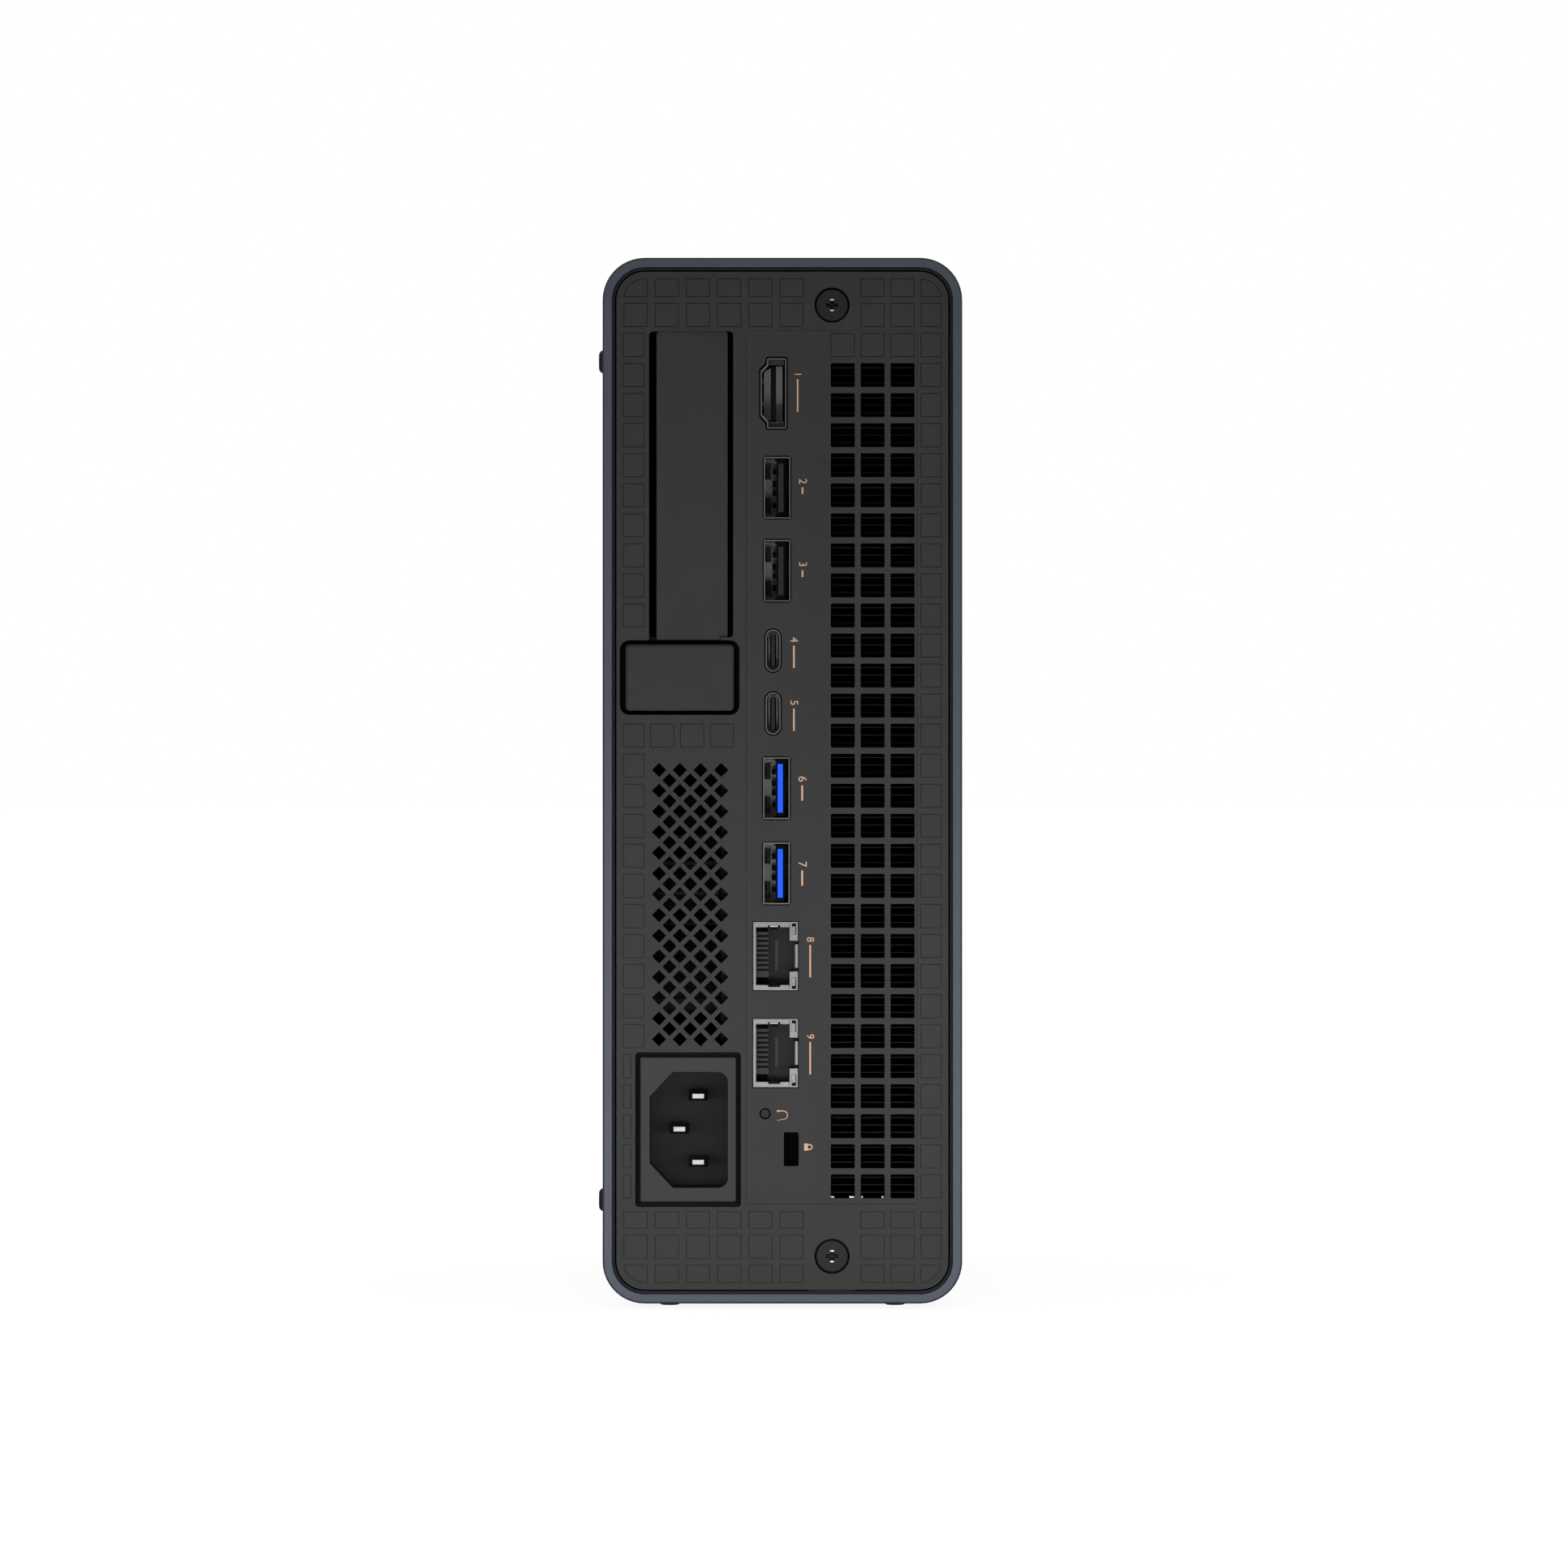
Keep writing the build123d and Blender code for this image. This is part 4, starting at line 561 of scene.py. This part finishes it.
def round_loop(inset, y):
    """A loop inside the sleeve's outline, brought in all round, at this depth."""
    half_w = (SHELL_HIGH.x - SHELL_LOW.x) / 2 - inset
    half_h = (SHELL_HIGH.z - SHELL_LOW.z) / 2 - inset
    radius = SHELL_R - inset
    centre_z = (SHELL_LOW.z + SHELL_HIGH.z) / 2
    points = []
    for quarter in range(4):
        sign_x = 1 if quarter in (0, 3) else -1
        sign_z = 1 if quarter < 2 else -1
        for k in range(ARC_STEPS + 1):
            turn = math.pi / 2 * (quarter + k / ARC_STEPS)
            points.append(Vector((CENTRE_X + sign_x * (half_w - radius) + radius * math.cos(turn), y,
                                  centre_z + sign_z * (half_h - radius) + radius * math.sin(turn))))
    return points


def ledge_shade_rings(shape):
    """A dark ring on the ledge inside each end of the sleeve: painted shade, where the ledge lies in shade.
    """
    for y in (SHELL_LOW.y + LEDGE_DEEP - SHADE_RING_PROUD, SHELL_HIGH.y - LEDGE_DEEP + SHADE_RING_PROUD):
        outer, inner = [[shape.verts.new(point) for point in round_loop(inset, y)]
                        for inset in (RIM + 0.01 * MM, RIM + LEDGE - 0.02 * MM)]
        for k in range(len(outer)):
            after = (k + 1) % len(outer)
            shape.faces.new((outer[k], outer[after], inner[after], inner[k]))


# The front screens: how far each lies from the middle, and its size in millimetres.
SCREEN_OFF = 19.1 * MM
SCREEN_SIZE = (19.4, 176.0)


def dust_filters(shape):
    """Two thin screens just behind the vents of the front panel."""
    up = (FRONT_LOW.z + FRONT_HIGH.z) / 2
    depth = (FRONT_LOW.y - 0.25 * MM, FRONT_LOW.y - 0.05 * MM)
    for side in BOTH:
        face_block(shape, (CENTRE_X + side * SCREEN_OFF, up), SCREEN_SIZE, depth)


for end in ("top", "bottom"):
    mesh_piece(f"{end}_screw_glint_spots", screw_glint_spots(end), f"{end}_screw", "lug_steel")
mesh_piece("lock_pocket", lock_pocket, "chassis", "black_plastic", DARK)
mesh_piece("vent_glint_spots", vent_glint_spots, "chassis", "lug_steel", GLINT)
mesh_piece("dust_filters", dust_filters, "shell", "black_plastic", DARK)
mesh_piece("ledge_shade_rings", ledge_shade_rings, "shell", "black_plastic", LEDGE_SHADE)


# ---------------------------------------------------------------- black sheet of painted shade behind the socket plate

def can_hole(low, high):
    """The box of a can without its legs, which reach out on the side of the board."""
    sockets = [HDMI] + USB_LARGE + USB_C
    middle_x = min(sockets, key=lambda socket: abs(socket[1] - (low.z + high.z) / 2))[0]
    return Vector((2 * middle_x - high.x, low.y, low.z)), high


PORT_HOLES = [can_hole(low, high) for low, high in solids("socket_cans")]
PORT_HOLES += solids("lan_cans") + solids("reset_button") + solids("lock_plate")
PORT_HOLES.sort(key=lambda box: box[0].z)
SHADE_SHEET_X = (LAN[0][0] - 5.6 * MM, LAN[0][0] + 5.6 * MM)
SHADE_SHEET_Y = (PANEL_HIGH.y + 0.1 * MM, PANEL_HIGH.y + 0.6 * MM)
SHADE_SHEET_Z = (LOCK.z - 4.5 * MM, HDMI[1] + 8.3 * MM)


def port_shade_sheet(shape):
    """A black sheet, cut out round the sockets, which stand one above another: painted shade in the gaps
    round them.
    """
    bottom = SHADE_SHEET_Z[0]
    for low, high in PORT_HOLES:
        if low.z > bottom:
            block(shape, SHADE_SHEET_X, SHADE_SHEET_Y, (bottom, low.z))
        block(shape, (SHADE_SHEET_X[0], low.x), SHADE_SHEET_Y, (low.z, high.z))
        block(shape, (high.x, SHADE_SHEET_X[1]), SHADE_SHEET_Y, (low.z, high.z))
        bottom = high.z
    block(shape, SHADE_SHEET_X, SHADE_SHEET_Y, (bottom, SHADE_SHEET_Z[1]))


mesh_piece("port_shade_sheet", port_shade_sheet, "chassis", "black_plastic", DARK)


# ---------------------------------------------------------------- printed marks

MARK_DEPTH = (FACE_Y - 0.02 * MM, FACE_Y + 0.01 * MM)

# Parts of a printed number's height: the size of its letters, the length it takes up, and its rule's width.
LETTER_SIZE = 1.42
NUMBER_LENGTH = 1.1
RULE_WIDTH = 0.22


def number_mark(name, text, centre, off, height, length):
    """A plain number read from top to bottom, with a short rule after it, printed beside a socket. The
    offset, the height and the length of both together are in millimetres."""
    curve = bpy.data.curves.new(name, "FONT")
    curve.body = text
    curve.size = height * MM * LETTER_SIZE
    curve.align_x = "LEFT"
    curve.align_y = "CENTER"
    curve.extrude = 0.01 * MM
    piece = bpy.data.objects.new(name, curve)
    bpy.context.scene.collection.objects.link(piece)
    facing = Matrix.Rotation(math.radians(90), 4, "X")
    turned = Matrix.Rotation(math.radians(-90), 4, "Z")
    x = centre[0] + off[0] * MM
    z = centre[1] + (off[1] + length / 2) * MM
    piece.matrix_world = Matrix.Translation((x, FACE_Y - 0.01 * MM, z)) @ facing @ turned
    curve.materials.append(MARK)
    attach(piece, "chassis")
    taken = height * NUMBER_LENGTH
    rule_size = (height * RULE_WIDTH, length - taken)
    rule_off = (off[0], off[1] - taken / 2)
    mesh_piece(f"{name}_rule", lambda shape: face_block(shape, centre, rule_size, MARK_DEPTH, rule_off),
               "chassis", "gold_wire", MARK)


def half_circle(centre, radius, count):
    """Points of a half circle on the right of a centre, from its foot up."""
    turns = [math.pi * (k / count - 0.5) for k in range(count + 1)]
    return [(centre[0] + radius * math.cos(turn), centre[1] + radius * math.sin(turn)) for turn in turns]


def flat_strip(shape, origin, points, widths):
    """A flat printed line: points across and up from an origin, and a width at each, in millimetres."""
    sides = []
    for k, (x, z) in enumerate(points):
        before, after = points[max(k - 1, 0)], points[min(k + 1, len(points) - 1)]
        along = Vector((after[0] - before[0], after[1] - before[1])).normalized()
        across = Vector((-along.y, along.x)) * widths[k] / 2
        sides.append([shape.verts.new((origin[0] + (x + side * across.x) * MM, MARK_DEPTH[0],
                                       origin[1] + (z + side * across.y) * MM)) for side in BOTH])
    for (a, b), (c, d) in zip(sides, sides[1:]):
        shape.faces.new((a, b, d, c))


def return_mark(shape):
    """A bent arrow: straight in from the left, round a half circle, and back to its head."""
    origin = (RESET.x + 3.65 * MM, RESET.z - 0.3 * MM)
    line = [(-1.1, -1.1)] + half_circle((0.2, 0), 0.88, 12) + [(-0.85, 0.88)]
    count = len(line)
    flat_strip(shape, origin, line, [0.1 + 0.13 * k / count for k in range(count)])
    flat_strip(shape, origin, [(-0.8, 0.88), (-1.3, 0.88)], [0.6, 0.02])


def lock_mark(shape):
    """A padlock lying on its side: its body on the left and its bow on the right."""
    origin = (LOCK.x + 4.0 * MM, LOCK.z)
    flat_strip(shape, origin, [(-0.95, 0), (-0.15, 0)], [1.5, 1.5])
    bow = [(-0.15, -0.5)] + half_circle((0.25, 0), 0.5, 10) + [(-0.15, 0.5)]
    flat_strip(shape, origin, bow, [0.24] * len(bow))


# The sockets from the top down: their numbers, their places, and the mark's offset, height and length.
MARKS = (
    ("1", [HDMI], (5.1, 0.3), 1.4, 8.4),
    ("23", USB2, (5.36, 0.3), 1.7, 3.3),
    ("45", USB_C, (4.4, -0.4), 1.66, 6.55),
    ("67", USB3, (5.43, 0), 1.8, 5.2),
    ("89", LAN, (7.31, -0.2), 1.56, 8.56),
)
for numbers, places, off, height, length in MARKS:
    for number, centre in zip(numbers, reversed(places)):
        number_mark(f"mark_{number}", number, centre, off, height, length)
mesh_piece("return_mark", return_mark, "chassis", "gold_wire", MARK)
mesh_piece("lock_mark", lock_mark, "chassis", "gold_wire", MARK)


# ---------------------------------------------------------------- floor, light and camera

FLOOR_HALF = 40.0
FLOOR_TONE = 0.86
FLOOR_WHITE = 1.16

# The floor keeps more of its own shadows near the case: distances from the middle, and the share of white.
SHADOW_REACH = (0.12, 0.5)
WHITE_SHARE = (0.78, 0.97)

# The world lights the scene dimly and is seen as white.
WORLD_LIGHT = 0.25
WORLD_WHITE = 1.0


def seen_rays(tree):
    """One for the rays that show the background: the camera's, mirrored and see-through ones."""
    path = tree.nodes.new("ShaderNodeLightPath")
    total = path.outputs["Is Camera Ray"]
    for ray in ("Is Glossy Ray", "Is Transmission Ray"):
        total = maths(tree, "MAXIMUM", total, path.outputs[ray])
    return total


def mix_shaders(tree, share, first, second, output):
    """Show two shaders on an output, with this share of the second."""
    mix = tree.nodes.new("ShaderNodeMixShader")
    tree.links.new(share, mix.inputs["Fac"])
    tree.links.new(first, mix.inputs[1])
    tree.links.new(second, mix.inputs[2])
    tree.links.new(mix.outputs["Shader"], output.inputs["Surface"])


def build_floor():
    """A white floor that shows a faint shadow round the case."""
    mesh = bpy.data.meshes.new("floor")
    shape = bmesh.new()
    bmesh.ops.create_grid(shape, x_segments=1, y_segments=1, size=FLOOR_HALF)
    shape.to_mesh(mesh)
    shape.free()
    floor = bpy.data.objects.new("floor", mesh)
    bpy.context.scene.collection.objects.link(floor)
    material = bpy.data.materials.new("floor_white")
    material.use_nodes = True
    tree = material.node_tree
    tree.nodes.clear()
    output = tree.nodes.new("ShaderNodeOutputMaterial")
    plain = tree.nodes.new("ShaderNodeBsdfDiffuse")
    plain.inputs["Color"].default_value = (FLOOR_TONE, FLOOR_TONE, FLOOR_TONE, 1)
    white = tree.nodes.new("ShaderNodeEmission")
    white.inputs["Strength"].default_value = FLOOR_WHITE
    place = tree.nodes.new("ShaderNodeTexCoord")
    away = tree.nodes.new("ShaderNodeVectorMath")
    away.operation = "LENGTH"
    tree.links.new(place.outputs["Object"], away.inputs[0])
    shadowed = remap(tree, away.outputs["Value"], SHADOW_REACH, WHITE_SHARE)
    share = maths(tree, "MULTIPLY", seen_rays(tree), shadowed)
    mix_shaders(tree, share, plain.outputs["BSDF"], white.outputs["Emission"], output)
    mesh.materials.append(material)


def build_world():
    """A world that lights the scene less than it shows."""
    world = bpy.data.worlds.new("studio")
    bpy.context.scene.world = world
    world.use_nodes = True
    tree = world.node_tree
    tree.nodes.clear()
    output = tree.nodes.new("ShaderNodeOutputWorld")
    shown = []
    for strength in (WORLD_LIGHT, WORLD_WHITE):
        background = tree.nodes.new("ShaderNodeBackground")
        background.inputs["Color"].default_value = (1, 1, 1, 1)
        background.inputs["Strength"].default_value = strength
        shown.append(background.outputs["Background"])
    mix_shaders(tree, seen_rays(tree), *shown, output)


def area_lamp(name, place, size, power, target):
    """A rectangular lamp at a place, turned to a target."""
    lamp = bpy.data.lights.new(name, "AREA")
    lamp.shape = "RECTANGLE"
    lamp.size, lamp.size_y = size
    lamp.energy = power
    thing = bpy.data.objects.new(name, lamp)
    bpy.context.scene.collection.objects.link(thing)
    thing.location = place
    thing.rotation_euler = (Vector(target) - Vector(place)).to_track_quat("-Z", "Y").to_euler()


# The camera: the width it sees at the rear face, its distance, how far it stands aside, its height, and its
# sensor in millimetres.
VIEW_WIDTH = 0.3313
CAMERA_DISTANCE = 2.0
CAMERA_ASIDE = 0.00034
CAMERA_HEIGHT = 0.111
SENSOR = 36.0


def build_camera():
    """A camera far away and dead on the rear face, as in the photograph."""
    camera = bpy.data.cameras.new("camera")
    camera.sensor_width = SENSOR
    camera.lens = SENSOR * CAMERA_DISTANCE / VIEW_WIDTH
    camera.clip_end = 50
    thing = bpy.data.objects.new("camera", camera)
    bpy.context.scene.collection.objects.link(thing)
    thing.location = (CENTRE_X + CAMERA_ASIDE, SHELL_LOW.y - CAMERA_DISTANCE, CAMERA_HEIGHT)
    thing.rotation_euler = (math.radians(90), 0, 0)
    bpy.context.scene.camera = thing


CASE_MIDDLE = (0, 0, 0.1)

build_floor()
build_world()
area_lamp("key_lamp", (-0.8, -1.4, 0.9), (1.4, 1.2), 2.9, CASE_MIDDLE)
area_lamp("low_lamp", (0.0, -0.32, 0.025), (0.5, 0.045), 0.68, (0, -0.1, 0.025))
area_lamp("right_lamp", (1.3, -0.4, 0.5), (1.0, 1.0), 3.9, CASE_MIDDLE)
area_lamp("left_lamp", (-1.3, 0.3, 0.5), (1.0, 1.0), 4.0, CASE_MIDDLE)
area_lamp("far_lamp", (0.3, 1.5, 0.9), (1.4, 1.2), 6.5, CASE_MIDDLE)
area_lamp("top_lamp", (0.0, 0.1, 1.6), (1.2, 1.2), 4.5, (0, 0, 0.2))
build_camera()

bpy.context.scene.view_settings.view_transform = "Standard"
